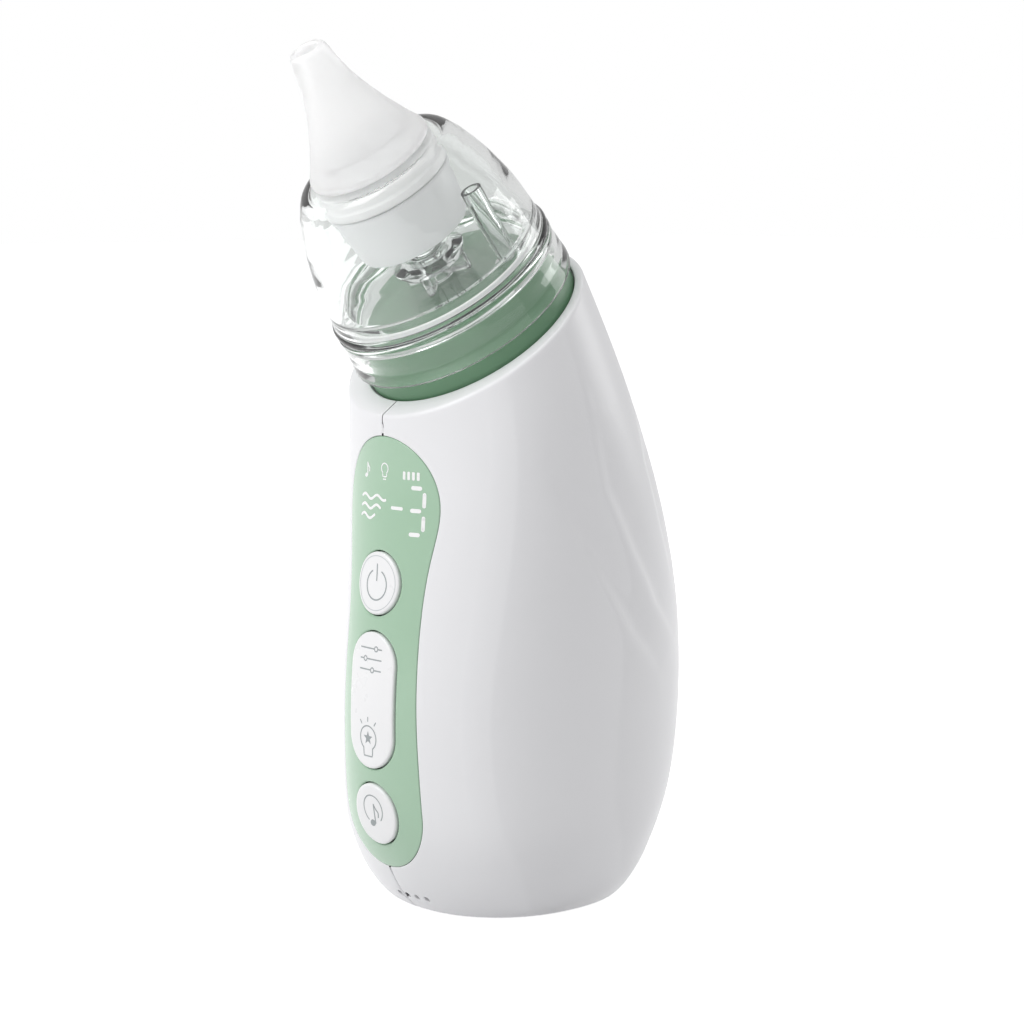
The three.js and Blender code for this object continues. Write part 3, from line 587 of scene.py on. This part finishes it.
# ------------------------------------------------------------------ shells
SEAM = 0.1                  # half of the parting line
SEAM_WALL = 1.4             # how far its inner faces reach in
SEAM_EASE, SEAM_EASE_WIDTH = 0.16, 0.14      # depth and reach of its eased edge
END_STATIONS = 0.16         # regular rows keep this far from the base's own close rows and the collar
# Distances from the seam to the first columns of the grid, front and back.
SEAM_STEPS = np.concatenate([[0.1, 0.16, 0.24, 0.36, 0.55, 0.8, 1.15], np.arange(1.6, 14.6, 0.5)])
# Middle line of each flute: (station, angle from the front in degrees).
FLUTES = [
    [(6.61, 72), (5.93, 78.5), (5.21, 91), (4.70, 101), (4.17, 117)],
    [(6.85, 98), (6.14, 96.5), (5.47, 105), (4.89, 115.6), (4.46, 131)],
    [(6.46, 134.6), (6.14, 128.3), (5.56, 129), (5.05, 133)],
]
FLUTE_DEPTH = 0.55
FLUTE_SOFT_SIDE, FLUTE_CRISP_SIDE = 5.0, 1.5


def body_rows():
    """Stations of the grid's rows: close together at the rounded base, about 0.6 mm elsewhere."""
    rows = [np.array([0, 0.0004, 0.0016, 0.0036, 0.0064, 0.01, 0.016, 0.026, 0.042, 0.066, 0.1, 0.15])]
    for i in range(LAST):
        span = np.linalg.norm(STATIONS[i + 1][:4] - STATIONS[i][:4]) / math.sqrt(2)
        step = np.linspace(i, i + 1, max(6, int(span / 0.62)), endpoint=False)
        rows.append(step[(step > END_STATIONS) & (step < LAST - END_STATIONS)])
    return np.concatenate(rows + [[LAST - END_STATIONS]])


def flute_field(points, u, a):
    """Inward depth of the shallow finger flutes on the side of the grip."""
    depth = np.zeros(u.shape)
    for line in FLUTES:
        marks = np.array(line, float)
        fine = even(np.column_stack([marks[:, 0] * 14, marks[:, 1]]), 60, closed=False) / [14, 1]
        path = skin(fine[:, 0], np.radians(fine[:, 1]))
        share = np.linspace(0, 1, len(path))
        distance = np.full(u.shape, 1e9)
        nearest = np.zeros(u.shape)
        for k, place in enumerate(path):
            gap = np.linalg.norm(points - place, axis=-1)
            closer = gap < distance
            distance, nearest = np.where(closer, gap, distance), np.where(closer, share[k], nearest)
        line_angle = np.radians(np.interp(-u, -fine[:, 0], fine[:, 1]))
        width = np.where(a > line_angle, FLUTE_SOFT_SIDE, FLUTE_CRISP_SIDE)
        fade = np.sin(math.pi * np.clip(nearest, 0.02, 0.98)) ** 0.7
        depth = np.maximum(depth, fade * np.exp(-(distance / width) ** 2))
    return FLUTE_DEPTH * depth


SPEAKER_HOLES = [-1.2, 1.2, 3.6, 6.0]
SPEAKER_HOLE_Z = 3.2
SPEAKER_HOLE_RADIUS = 0.55
SLOT = dict(half_width=4.8, half_height=1.9, z=10.6)


def round_hole(x, z, radius, count=32):
    """Outline of a round hole."""
    return even(arc((x, z), radius, 0, 2 * math.pi, count * 2), count)


def slot_outline(count=96):
    """Outline of the charging slot."""
    straight = SLOT["half_width"] - SLOT["half_height"]
    z, r = SLOT["z"], SLOT["half_height"]
    return even(np.concatenate([
        arc((straight, z), r, -math.pi / 2, math.pi / 2, 40),
        arc((-straight, z), r, math.pi / 2, 1.5 * math.pi, 40)]), count)


def shell(name, side):
    """Half of the outer body; side is +1 for the right shell and -1 for the left."""
    rows = body_rows()
    u = rows[:, None]
    half, _, _, _, power = section_shape(u)
    front = np.arcsin(np.clip(SEAM_STEPS[None, :] / half, 0, 1) ** (1 / power))
    back = math.pi - front[:, ::-1]
    share = np.linspace(0, 1, 78)[1:-1][None, :]
    middle = front[:, -1:] + (back[:, :1] - front[:, -1:]) * share
    a = np.concatenate([front, middle, back], 1)
    u = np.broadcast_to(u, a.shape)
    base = skin(u, a)
    normal = skin_normal(u, a)
    offset = -flute_field(base, u, a)
    seam_gap = np.abs(base[..., 0]) - SEAM
    offset -= SEAM_EASE * np.exp(-np.maximum(seam_gap, 0) / SEAM_EASE_WIDTH)
    points = base + normal * offset[..., None]
    points[0, :, 2] = 0
    points[..., 2] = np.maximum(points[..., 2], 0)
    # Openings: the panel's recess, the speaker holes and the charging slot.
    keep = np.ones((a.shape[0] - 1, a.shape[1] - 1), bool)
    facing = a < math.pi / 2
    recess = panel_outline() + outward(panel_outline()) * RECESS_GAP

    def clear(outline, where, margin):
        inside = where & (signed_distance(base[..., 0], base[..., 2], outline) < margin)
        corner = inside[:-1, :-1] | inside[1:, :-1] | inside[:-1, 1:] | inside[1:, 1:]
        keep[corner] = False

    clear(recess, facing, 0.15)
    holes = [x * side for x in SPEAKER_HOLES if x * side > 0]
    for x in holes:
        clear(round_hole(x, SPEAKER_HOLE_Z, SPEAKER_HOLE_RADIUS), facing, 0.02)
    clear(slot_outline(), ~facing, 0.15)
    made = Sheet()
    mirror = np.array([side, 1, 1])
    turn = side < 0
    made.grid(points * mirror, flip=turn, keep=keep)
    # Inner faces of the parting line and the flat underside.
    for column, reverse in ((0, True), (-1, False)):
        edge = points[:, column]
        inward = edge - normal[:, column] * SEAM_WALL
        inward[:, 0] = edge[:, 0] = SEAM
        wall = np.stack([edge, inward], 1)
        opening = recess if column == 0 else slot_outline()
        open_rows = signed_distance(np.full(len(rows), SEAM), edge[:, 2], opening) > 0.1
        keep_wall = (open_rows[:-1] & open_rows[1:])[:, None]
        made.grid(wall * mirror, flip=reverse != turn, keep=keep_wall)
    foot = points[0]
    centre = foot * [0, 1, 0] + [SEAM, 0, 0]
    under = np.stack([centre + (foot - centre) * k for k in (0, 0.25, 0.5, 0.75, 0.9, 1.0)])
    made.grid(under * mirror, flip=turn)
    # Collar lip: rounded outer edge, flat top, then the bore that the seat drops into.
    angle = a[-1]
    axis = np.array([0, -math.sin(TILT), math.cos(TILT)])
    top = skin(np.full(angle.shape, float(LAST)), angle)
    slope = (top - skin(np.full(angle.shape, LAST - 0.2), angle)) @ axis / 0.2
    radial = (top - COLLAR) / COLLAR_RADIUS
    rings = [points[-1]]
    for height, inset in ((-1.3, 0), (-0.7, 0), (-0.44, 0.03), (-0.26, 0.1), (-0.12, 0.22), (-0.04, 0.36),
                          (-0.02, 0.52)):
        rings.append(skin(LAST + height / slope, angle) - radial * inset)
    for radius, height in ((21.7, -0.12), (21.5, -0.2), (21.36, -0.36), (21.3, -0.7), (21.3, -2.1),
                           (17.6, -2.2)):
        rings.append(from_neck(np.stack([radius * np.sin(angle), -radius * np.cos(angle),
                                         np.full(angle.shape, height)], -1)))
    rings = [np.maximum(ring, [SEAM, -99, 0]) for ring in rings]
    made.grid(np.stack(rings) * mirror, flip=turn)

    # Rims of the openings on this side; those that cross the seam are cut at it.
    def add_rim(outline, depth, spread, radius, back=False):
        part = Sheet()
        rim(part, outline, depth, spread, radius, back)
        grid = part.points[0].reshape(-1, len(outline), 3)
        inside = (grid[0, :, 0] * side) > SEAM
        pairs = inside & np.roll(inside, -1)
        keep_rim = np.broadcast_to(pairs[None, :], (grid.shape[0] - 1, len(outline)))
        made.grid(grid, closed=True, flip=back, keep=keep_rim)

    add_rim(recess, 1.65, 1.5, 0.14)
    for x in holes:
        add_rim(round_hole(x * side, SPEAKER_HOLE_Z, SPEAKER_HOLE_RADIUS), 1.6, 0.85, 0.12)
    add_rim(slot_outline(), 2.6, 1.2, 0.4, back=True)
    return make_piece(name + "_skin", made, "housing", shell_white, [name], weld=0.0005)


shell("right_shell", 1)
shell("left_shell", -1)

# ------------------------------------------------------------------ control panel and buttons


def capped(outline, spine, radius, surface, wall, field=None):
    """Rings of skin points for a pad with a rounded edge: wall, edge, then in to the spine."""
    normal = outward(outline)
    rings = []
    for k in np.linspace(0, 1, 3):
        rings.append((outline, wall + (surface - radius - wall) * k))
    for t in np.linspace(0, math.pi / 2, 6)[1:]:
        at = outline - normal * radius * (1 - math.cos(t))
        rings.append((at, surface - radius * (1 - math.sin(t))))
    inner = outline - normal * radius * 1.25
    shares = 1 - (1 - np.linspace(0, 1, 34)) ** 1.15
    rings += [(inner + (spine - inner) * k, surface) for k in shares]
    made = []
    for at, height in rings:
        offset = np.full(len(at), height, float)
        if field is not None:
            offset = offset + field(at[:, 0], at[:, 1])
        made.append(on_skin(at[:, 0], at[:, 1], offset))
    return made, [at for at, _ in rings]


def spine_of(outline, low, high):
    """Points up the middle line of a shape that its outline closes in to."""
    return np.column_stack([np.zeros(len(outline)), np.clip(outline[:, 1], low, high)])


def build_panel():
    """The green panel, with a rounded hole for each key."""
    outline = panel_outline()
    outline = outline + outward(outline) * PANEL_FIT
    rings, places = capped(outline, spine_of(outline, PANEL["foot_z"], PANEL["head_z"]), 0.2, 0.0,
                           -PANEL_THICKNESS)
    at = np.stack(places)
    made = Sheet()
    keep = np.ones((len(rings) - 1, len(outline)), bool)
    holes = [grown_button(button, BUTTON_FIT) for button in BUTTONS.values()]
    for hole in holes:
        inside = signed_distance(at[..., 0], at[..., 1], hole) < 0.12
        around = inside | np.roll(inside, -1, 1)
        keep[around[:-1] | around[1:]] = False
    made.grid(np.stack(rings), closed=True, keep=keep)
    for hole in holes:
        rim(made, hole, PANEL_THICKNESS, spread=1.0, radius=0.28)
    make_piece("control_panel_skin", made, "housing", panel_green, ["control_panel"],
               weld=0.0005)


def build_buttons():
    """Each key with its dish and hidden flange, and a fixed ring of painted shade under its hole, seen in the
    gap round the key.
    """
    for name, button in BUTTONS.items():
        outline = grown_button(button, 0)
        straight = button_straight(button)
        spine = spine_of(outline, button["z"] - straight, button["z"] + straight)

        def dish(x, z, button=button):
            return -dish_depth(button, x, z)

        rings, _ = capped(outline, spine, 0.42, BUTTON_PROUD, -1.7, dish)
        made = Sheet().loft(rings)
        flange_low, flange_high = -PANEL_THICKNESS - 1.5, -PANEL_THICKNESS - 0.85
        wide = grown_button(button, KEY_FLANGE)
        flange = [on_skin(at[:, 0], at[:, 1], np.full(len(at), h)) for at, h in (
            (outline, flange_low), (wide, flange_low), (wide, flange_high), (outline, flange_high))]
        made.loft(flange)
        make_piece(name + "_cap", made, button["body"], button_white, [name])
        # A flat ring of painted shade under the hole, standing in for the shade in the gap round the key.
        collar = Sheet().loft([
            on_skin(at[:, 0], at[:, 1], np.full(len(at), -PANEL_THICKNESS - 0.12))
            for at in (wide, outline + outward(outline) * 0.23)])
        make_piece(name + "_key_gap_shade", collar, "housing", gap_shade_paint, ())


build_panel()
build_buttons()

# ------------------------------------------------------------------ printed marks


class Marks:
    """Thin printed marks laid on the front skin: lines, discs and filled shapes."""

    def __init__(self, lift):
        self.sheet, self.lift = Sheet(), lift

    def surface(self, points):
        return on_skin(points[..., 0], points[..., 1], self.lift(points[..., 0], points[..., 1]))

    def line(self, points, width, closed=False, smooth=0.35):
        points = np.array(points, float)
        length = np.linalg.norm(np.diff(points, axis=0), axis=1).sum()
        line = even(points, max(3, int(length / smooth)), closed)
        along = np.roll(line, -1, 0) - np.roll(line, 1, 0)
        if not closed:
            along[0], along[-1] = line[1] - line[0], line[-1] - line[-2]
        side = np.stack([-along[:, 1], along[:, 0]], -1)
        side /= np.linalg.norm(side, axis=1, keepdims=True)
        rows = [line + side * width * k for k in (0.5, 0.25, 0, -0.25, -0.5)]
        self.sheet.grid(self.surface(np.stack(rows)), closed=closed)
        if not closed:
            for end in (line[0], line[-1]):
                self.disc(end, width / 2, rings=2, count=12)
        return self

    def disc(self, centre, radius, rings=3, count=28, tall=1.0, lean=0.0):
        t = np.linspace(0, 2 * math.pi, count, endpoint=False)
        rows = []
        for k in np.linspace(1, 0.02, rings + 1):
            x, z = radius * k * np.cos(t), radius * k * tall * np.sin(t)
            rows.append(np.stack([centre[0] + x * math.cos(lean) - z * math.sin(lean),
                                  centre[1] + x * math.sin(lean) + z * math.cos(lean)], -1))
        self.sheet.grid(self.surface(np.stack(rows)), closed=True)
        return self

    def bar(self, x, z, width, height, round_by=0.2):
        outline = np.concatenate([arc((x + sx * (width / 2 - round_by), z + sz * (height / 2 - round_by)),
                                      round_by, start, start + math.pi / 2, 6)
                                  for sx, sz, start in ((1, 1, 0), (-1, 1, math.pi / 2), (-1, -1, math.pi),
                                                        (1, -1, 1.5 * math.pi))])
        rows = [np.array([x, z]) + (outline - [x, z]) * k for k in (1, 0.6, 0.05)]
        self.sheet.grid(self.surface(np.stack(rows)), closed=True)
        return self

    def circle(self, centre, radius, width, start=0.0, end=2 * math.pi):
        full = end - start > 6.28
        points = arc(centre, radius, start, end, 60)
        if not full:
            points = np.concatenate([points, [[centre[0] + radius * math.cos(end),
                                               centre[1] + radius * math.sin(end)]]])
        return self.line(points, width, closed=full)


PRINT_LIFT = 0.02


def on_panel(x, z):
    """Height of a mark printed on the panel."""
    return np.full(np.shape(x), PRINT_LIFT)


def on_button(name):
    """Height of a mark printed on a key, as a function of its place."""
    def lift(x, z):
        return BUTTON_PROUD + PRINT_LIFT - dish_depth(BUTTONS[name], x, z)
    return lift


def note_mark(marks, x, z, size, width):
    """A single quaver: head, stem and flag."""
    marks.disc((x - size * 0.2, z - size * 0.42), size * 0.2, tall=0.78, lean=0.35)
    marks.line([(x, z - size * 0.4), (x, z + size * 0.5)], width)
    marks.line([(x, z + size * 0.5), (x + size * 0.12, z + size * 0.3), (x + size * 0.3, z + size * 0.12),
                (x + size * 0.26, z - size * 0.08)], width)


def display_marks():
    """Symbols of the level display."""
    marks = Marks(on_panel)
    note_mark(marks, -5.4, 81.9, 2.5, 0.34)
    marks.circle((0.1, 82.5), 0.95, 0.26, -0.9, math.pi + 0.9)
    marks.line([(-0.45, 81.5), (-0.45, 81.0), (0.65, 81.0), (0.65, 81.5)], 0.24)
    marks.line([(-0.25, 80.55), (0.45, 80.55)], 0.24)
    for k in range(4):
        marks.bar(5.2 + k * 1.05, 81.6, 0.62, 1.5, 0.2)
    # Air-flow symbol: three waves of falling length.
    for k, reach in enumerate((7.6, 6.2, 4.6)):
        z = 77.1 - k * 1.75
        x = np.linspace(0, reach, 26)
        marks.line(np.column_stack([-7.0 + x, z + 0.42 * np.sin(x * 1.55)]), 0.5)
    marks.line([(2.5, 75.6), (4.9, 75.6)], 0.62)
    segment = 0.76
    for z in (79.5, 75.45, 71.2):
        marks.line([(7.25, z), (8.85, z)], segment)
    for z in (78.4, 74.2):
        marks.line([(9.75, z), (9.75, z - 2.0)], segment)
    make_piece("display_symbols", marks.sheet, "housing", print_white, (), weld=0)


def button_marks():
    """Symbols printed on the keys."""
    power = Marks(on_button("power_button"))
    power.circle((0, 61.5), 2.75, 0.28, math.pi / 2 + 0.5, 2.5 * math.pi - 0.5)
    power.line([(0, 62.3), (0, 65.2)], 0.3)
    make_piece("power_symbol", power.sheet, "power_cap", print_grey, (), weld=0)
    ring = Marks(on_button("power_button"))
    ring.circle((0, 61.8), 4.95, 0.16)
    make_piece("power_ring", ring.sheet, "power_cap", ring_grey, (), weld=0)
    rocker = Marks(on_button("level_light_rocker"))
    for k, knob in enumerate((1.4, -1.5, 0.6)):
        z = 50.0 - k * 1.95
        rocker.line([(-2.9, z), (knob - 0.6, z)], 0.24)
        rocker.line([(knob + 0.6, z), (2.9, z)], 0.24)
        rocker.circle((knob, z), 0.46, 0.24)
    lamp = np.array([-0.2, 33.6])
    rocker.circle(lamp, 2.25, 0.24, -0.95, math.pi + 0.95)
    rocker.line([lamp + (-1.3, -1.85), lamp + (-1.2, -3.3), lamp + (1.2, -3.3), lamp + (1.3, -1.85)], 0.24)
    for t in (math.pi / 2, math.pi / 2 + 0.62, math.pi / 2 - 0.62):
        way = np.array([math.cos(t), math.sin(t)])
        rocker.line([lamp + way * 3.1, lamp + way * 3.8], 0.24)
    tips = math.pi / 2 + np.arange(10) * math.pi / 5
    star = lamp + np.stack([np.cos(tips), np.sin(tips)], -1) * np.where(np.arange(10) % 2, 0.55, 1.3)[:, None]
    star_rings = np.stack([lamp + (star - lamp) * k for k in (1, 0.6, 0.3, 0.02)])
    rocker.sheet.grid(rocker.surface(star_rings), closed=True)
    make_piece("level_and_light_symbols", rocker.sheet, "rocker_cap", print_grey, (), weld=0)
    music = Marks(on_button("music_button"))
    music.circle((-0.1, 20.3), 2.65, 0.24, -0.75, math.pi * 1.3)
    note_mark(music, 0.2, 19.3, 3.9, 0.3)
    make_piece("music_symbol", music.sheet, "music_cap", print_grey, (), weld=0)


display_marks()
button_marks()

# A dark sheet 1 mm inside the skin behind the speaker holes: painted shade in the holes.
speaker_x = np.linspace(-2.2, 7.0, 24)[None, :]
speaker_z = np.linspace(2.4, 4.6, 8)[:, None]
hole_shade_sheet = Sheet().grid(on_skin(*np.broadcast_arrays(speaker_x, speaker_z), np.full((8, 24), -1.0)))
make_piece("speaker_hole_shade", hole_shade_sheet, "housing", painted_hole_shade, ())

# ------------------------------------------------------------------ neck: seat, cup, dome, nozzle
PORT = (11.35, 7.13)


def neck_piece(name, profiles, body, material, stands_for=(), radius=0.3, sides=192):
    made = Sheet()
    for profile in profiles:
        turned(made, profile, radius, sides)
    return make_piece(name, made, body, material, stands_for)


def tube_profile(inner, outer, bottom, top):
    """Section of a plain tube."""
    return [(inner, bottom), (outer, bottom), (outer, top), (inner, top)]


def at_port(sheet, profile, radius=0.15, sides=48):
    """Adds a turned body on the axis of the air port."""
    return turned(sheet, profile, radius, sides, centre=PORT)


seat = Sheet()
turned(seat, [(16.6, -1.3), (21, -1.3), (21, 0), (20.6, 3), (18.5, 4.4), (17.9, 6.8), (17.3, 8.3),
              (15.8, 9), (0, 9), (0, 7), (14.8, 7), (15.8, 6), (16.6, 3)], 0.5)
at_port(seat, tube_profile(1.2, 2.4, -9, 7.2))
make_piece("pump_seat_skin", seat, "housing", seat_green, ["pump_seat"])

cup_base = Sheet()
turned(cup_base, [(20.9, 3.3), (22.3, 3.3), (22.35, 4), (21.7, 9.6), (21.95, 10.1), (21.95, 10.9),
              (21.6, 11.2), (19, 11.3), (19, 15), (17.6, 15), (17.4, 12.2), (16.6, 11.7), (0, 11.7),
              (0, 10.1), (17.6, 10.1), (18.9, 8.9), (19.4, 7), (19.5, 5), (20.9, 3.7)], 0.35)
at_port(cup_base, tube_profile(1.2, 1.9, 11, 25.5))
make_piece("cup_base_clear", cup_base, "cup", clear_plastic, ["cup_base"])

baffle = Sheet()
turned(baffle, [(2.4, 16), (7, 15.2), (7.2, 16), (4.6, 17.4), (2.4, 17.9)], 0.25, 72)
turned(baffle, tube_profile(1.4, 3, 11.9, 16.4), 0.2, 48)
for k in range(4):
    fin_angle = k * math.pi / 2 + 0.5
    across = np.array([math.cos(fin_angle), math.sin(fin_angle)])
    side = np.array([-across[1], across[0]])
    rings = []
    for h in (11.9, 12.1, 15.0, 15.3):
        inset = 0.12 if h in (11.9, 15.3) else 0.0
        corners = [(2.6, -0.5 + inset), (6.4 - inset, -0.5 + inset), (6.55 - inset, -0.3),
                   (6.55 - inset, 0.3), (6.4 - inset, 0.5 - inset), (2.6, 0.5 - inset)]
        flat = np.array([across * r + side * s for r, s in corners])
        rings.append(np.column_stack([flat, np.full(len(flat), h)]))
    rings = [np.broadcast_to(rings[0].mean(0), rings[0].shape)] + rings + [
        np.broadcast_to(rings[-1].mean(0), rings[-1].shape)]
    baffle.grid(from_neck(np.stack(rings)), closed=True)
make_piece("splash_baffle_clear", baffle, "cup", clear_plastic, ["splash_baffle"])

neck_piece("cup_seal_ring", [tube_profile(19.1, 19.7, 12.2, 13.4)], "cup", white_silicone, ["cup_seal"],
           0.25)
neck_piece("cup_dome_clear", [[
    (19.9, 11.4), (21.6, 11.4), (21.95, 11.8), (21.95, 12.6), (21.45, 13.1), (21.2, 15.6), (20.9, 19),
    (20.45, 22), (19.8, 24.6), (19.0, 27.6), (17.9, 30.7), (16.7, 33.6), (15.3, 36), (14.5, 37.0),
    (13.2, 37.6), (8.6, 37.6), (8.6, 41.5), (7.5, 41.5), (7.5, 36.6), (12.9, 36.3), (14.8, 33.2),
    (16.2, 30), (17.3, 27), (18, 24.2), (18.6, 21), (19.1, 18), (19.4, 15.6),
    (19.9, 15.2)]], "dome", clear_plastic, ["cup_dome"], 0.6)
neck_piece("neck_ring_milky", [[(7.5, 32.4), (12, 32.4), (12.2, 32.8), (12.2, 34), (11.8, 34.3), (11.8, 36.1),
                                (7.5, 36.1)]], "dome", ring_white, ["neck_ring"], 0.25)
neck_piece("inlet_sleeve_frosted", [[(9.6, 21.5), (10.6, 21.5), (11.9, 31.6), (11.7, 32.1), (7.2, 32.1),
                                     (7.2, 41), (6.2, 41), (6.2, 31.1),
                                     (10.7, 31.1)]], "dome", sleeve_grey,
           ["inlet_sleeve"], 0.3)
neck_piece("nozzle_tip_soft", [[
    (8.9, 37.9), (11.3, 37.9), (11.7, 38.4), (11.6, 39.2), (10.9, 40.2), (10.1, 41.6), (9.2, 43.3),
    (8.1, 45.4), (6.4, 49.2), (5.5, 51.5), (4.7, 54), (4.0, 57.3), (3.5, 60.4), (3.1, 61), (1.9, 61),
    (2.1, 58.5), (2.5, 56), (3.3, 53.3), (4.3, 51), (5.4, 48.5), (6.6, 46), (7.9, 43.8),
    (8.9, 42)]], "nozzle", nozzle_silicone,
           ["nozzle_tip"], 0.5, 96)

# ------------------------------------------------------------------ camera, light and floor
CAMERA_AZIMUTH, CAMERA_ELEVATION, CAMERA_DISTANCE = math.radians(49), math.radians(7), 480.0
TARGET_RIGHT, TARGET_HEIGHT = 2.13, 72.37
RIGHT = Vector((math.cos(CAMERA_AZIMUTH), math.sin(CAMERA_AZIMUTH), 0))
TARGET = Vector((RIGHT.x * TARGET_RIGHT, RIGHT.y * TARGET_RIGHT, TARGET_HEIGHT)) * MM
TOWARD = Vector((math.sin(CAMERA_AZIMUTH) * math.cos(CAMERA_ELEVATION),
                 -math.cos(CAMERA_AZIMUTH) * math.cos(CAMERA_ELEVATION), math.sin(CAMERA_ELEVATION)))

camera = bpy.data.objects.new("camera", bpy.data.cameras.new("camera"))
camera.data.lens, camera.data.sensor_width = 90, 36
camera.data.clip_start, camera.data.clip_end = 0.01, 50
camera.location = TARGET + TOWARD * CAMERA_DISTANCE * MM
camera.rotation_mode = "QUATERNION"
camera.rotation_quaternion = (-TOWARD).to_track_quat("-Z", "Y")
bpy.context.scene.collection.objects.link(camera)
bpy.context.scene.camera = camera


def soft_light(name, offset, size, power):
    """Square area light at an offset from the target (right, toward the camera, up), in metres."""
    light = bpy.data.lights.new(name, "AREA")
    light.shape, light.size, light.energy = "SQUARE", size, power
    holder = bpy.data.objects.new(name, light)
    right, toward, up = offset
    ahead = Vector((TOWARD.x, TOWARD.y, 0)).normalized()
    holder.location = TARGET + RIGHT * right + ahead * toward + Vector((0, 0, up))
    holder.rotation_mode = "QUATERNION"
    holder.rotation_quaternion = (TARGET - holder.location).to_track_quat("-Z", "Y")
    bpy.context.scene.collection.objects.link(holder)


soft_light("key_light", (-0.75, 0.42, 0.62), 0.55, 4.5)
soft_light("top_light", (-0.25, 0.25, 0.85), 0.6, 1.5)
soft_light("right_edge_light", (0.8, -0.35, 0.25), 0.4, 1.3)

# Share of the studio's white that lights surfaces, shows through clear parts and mirrors in gloss.
SKY = dict(diffuse=0.5, through=0.96, mirrored=0.75)
world = bpy.data.worlds.new("studio")
bpy.context.scene.world = world
world.use_nodes = True
sky = world.node_tree
background = sky.nodes["Background"]
path = sky.nodes.new("ShaderNodeLightPath")
seen = ramp(sky, path.outputs["Is Diffuse Ray"], 0.0, 1.0, 1.0, SKY["diffuse"])
through = ramp(sky, path.outputs["Is Transmission Ray"], 0.0, 1.0, 1.0, SKY["through"])
mirrored = ramp(sky, path.outputs["Is Glossy Ray"], 0.0, 1.0, 1.0, SKY["mirrored"])
product = node(sky, "ShaderNodeMath", operation="MULTIPLY")
strength = node(sky, "ShaderNodeMath", operation="MULTIPLY")
link(sky, seen, product.inputs[0])
link(sky, through, product.inputs[1])
link(sky, product.outputs[0], strength.inputs[0])
link(sky, mirrored, strength.inputs[1])
link(sky, strength.outputs[0], background.inputs["Strength"])
background.inputs["Color"].default_value = (1, 1, 1, 1)

floor_mesh = bpy.data.meshes.new("studio_floor")
FLOOR_REACH, FLOOR_HEIGHT = 6.0, -0.0002     # metres
floor_mesh.from_pydata([(x * FLOOR_REACH, y * FLOOR_REACH, FLOOR_HEIGHT)
                        for x, y in ((-1, -1), (1, -1), (1, 1), (-1, 1))], [], [(0, 1, 2, 3)])
floor = bpy.data.objects.new("studio_floor", floor_mesh)
bpy.context.scene.collection.objects.link(floor)
floor_paint = finish("floor_paint", srgb(196, 196, 197), 0.7, deep=0.995, bump=0.02,
                     Emission_Color=(1, 1, 1, 1))
paint_tree = floor_paint.node_tree
ray = paint_tree.nodes.new("ShaderNodeLightPath")
glow = ramp(paint_tree, ray.outputs["Is Diffuse Ray"], 0.0, 1.0, 0.82, 0.0)
link(paint_tree, glow, paint_tree.nodes["Principled BSDF"].inputs["Emission Strength"])
floor_mesh.materials.append(floor_paint)

bpy.context.scene.view_settings.view_transform = "Standard"
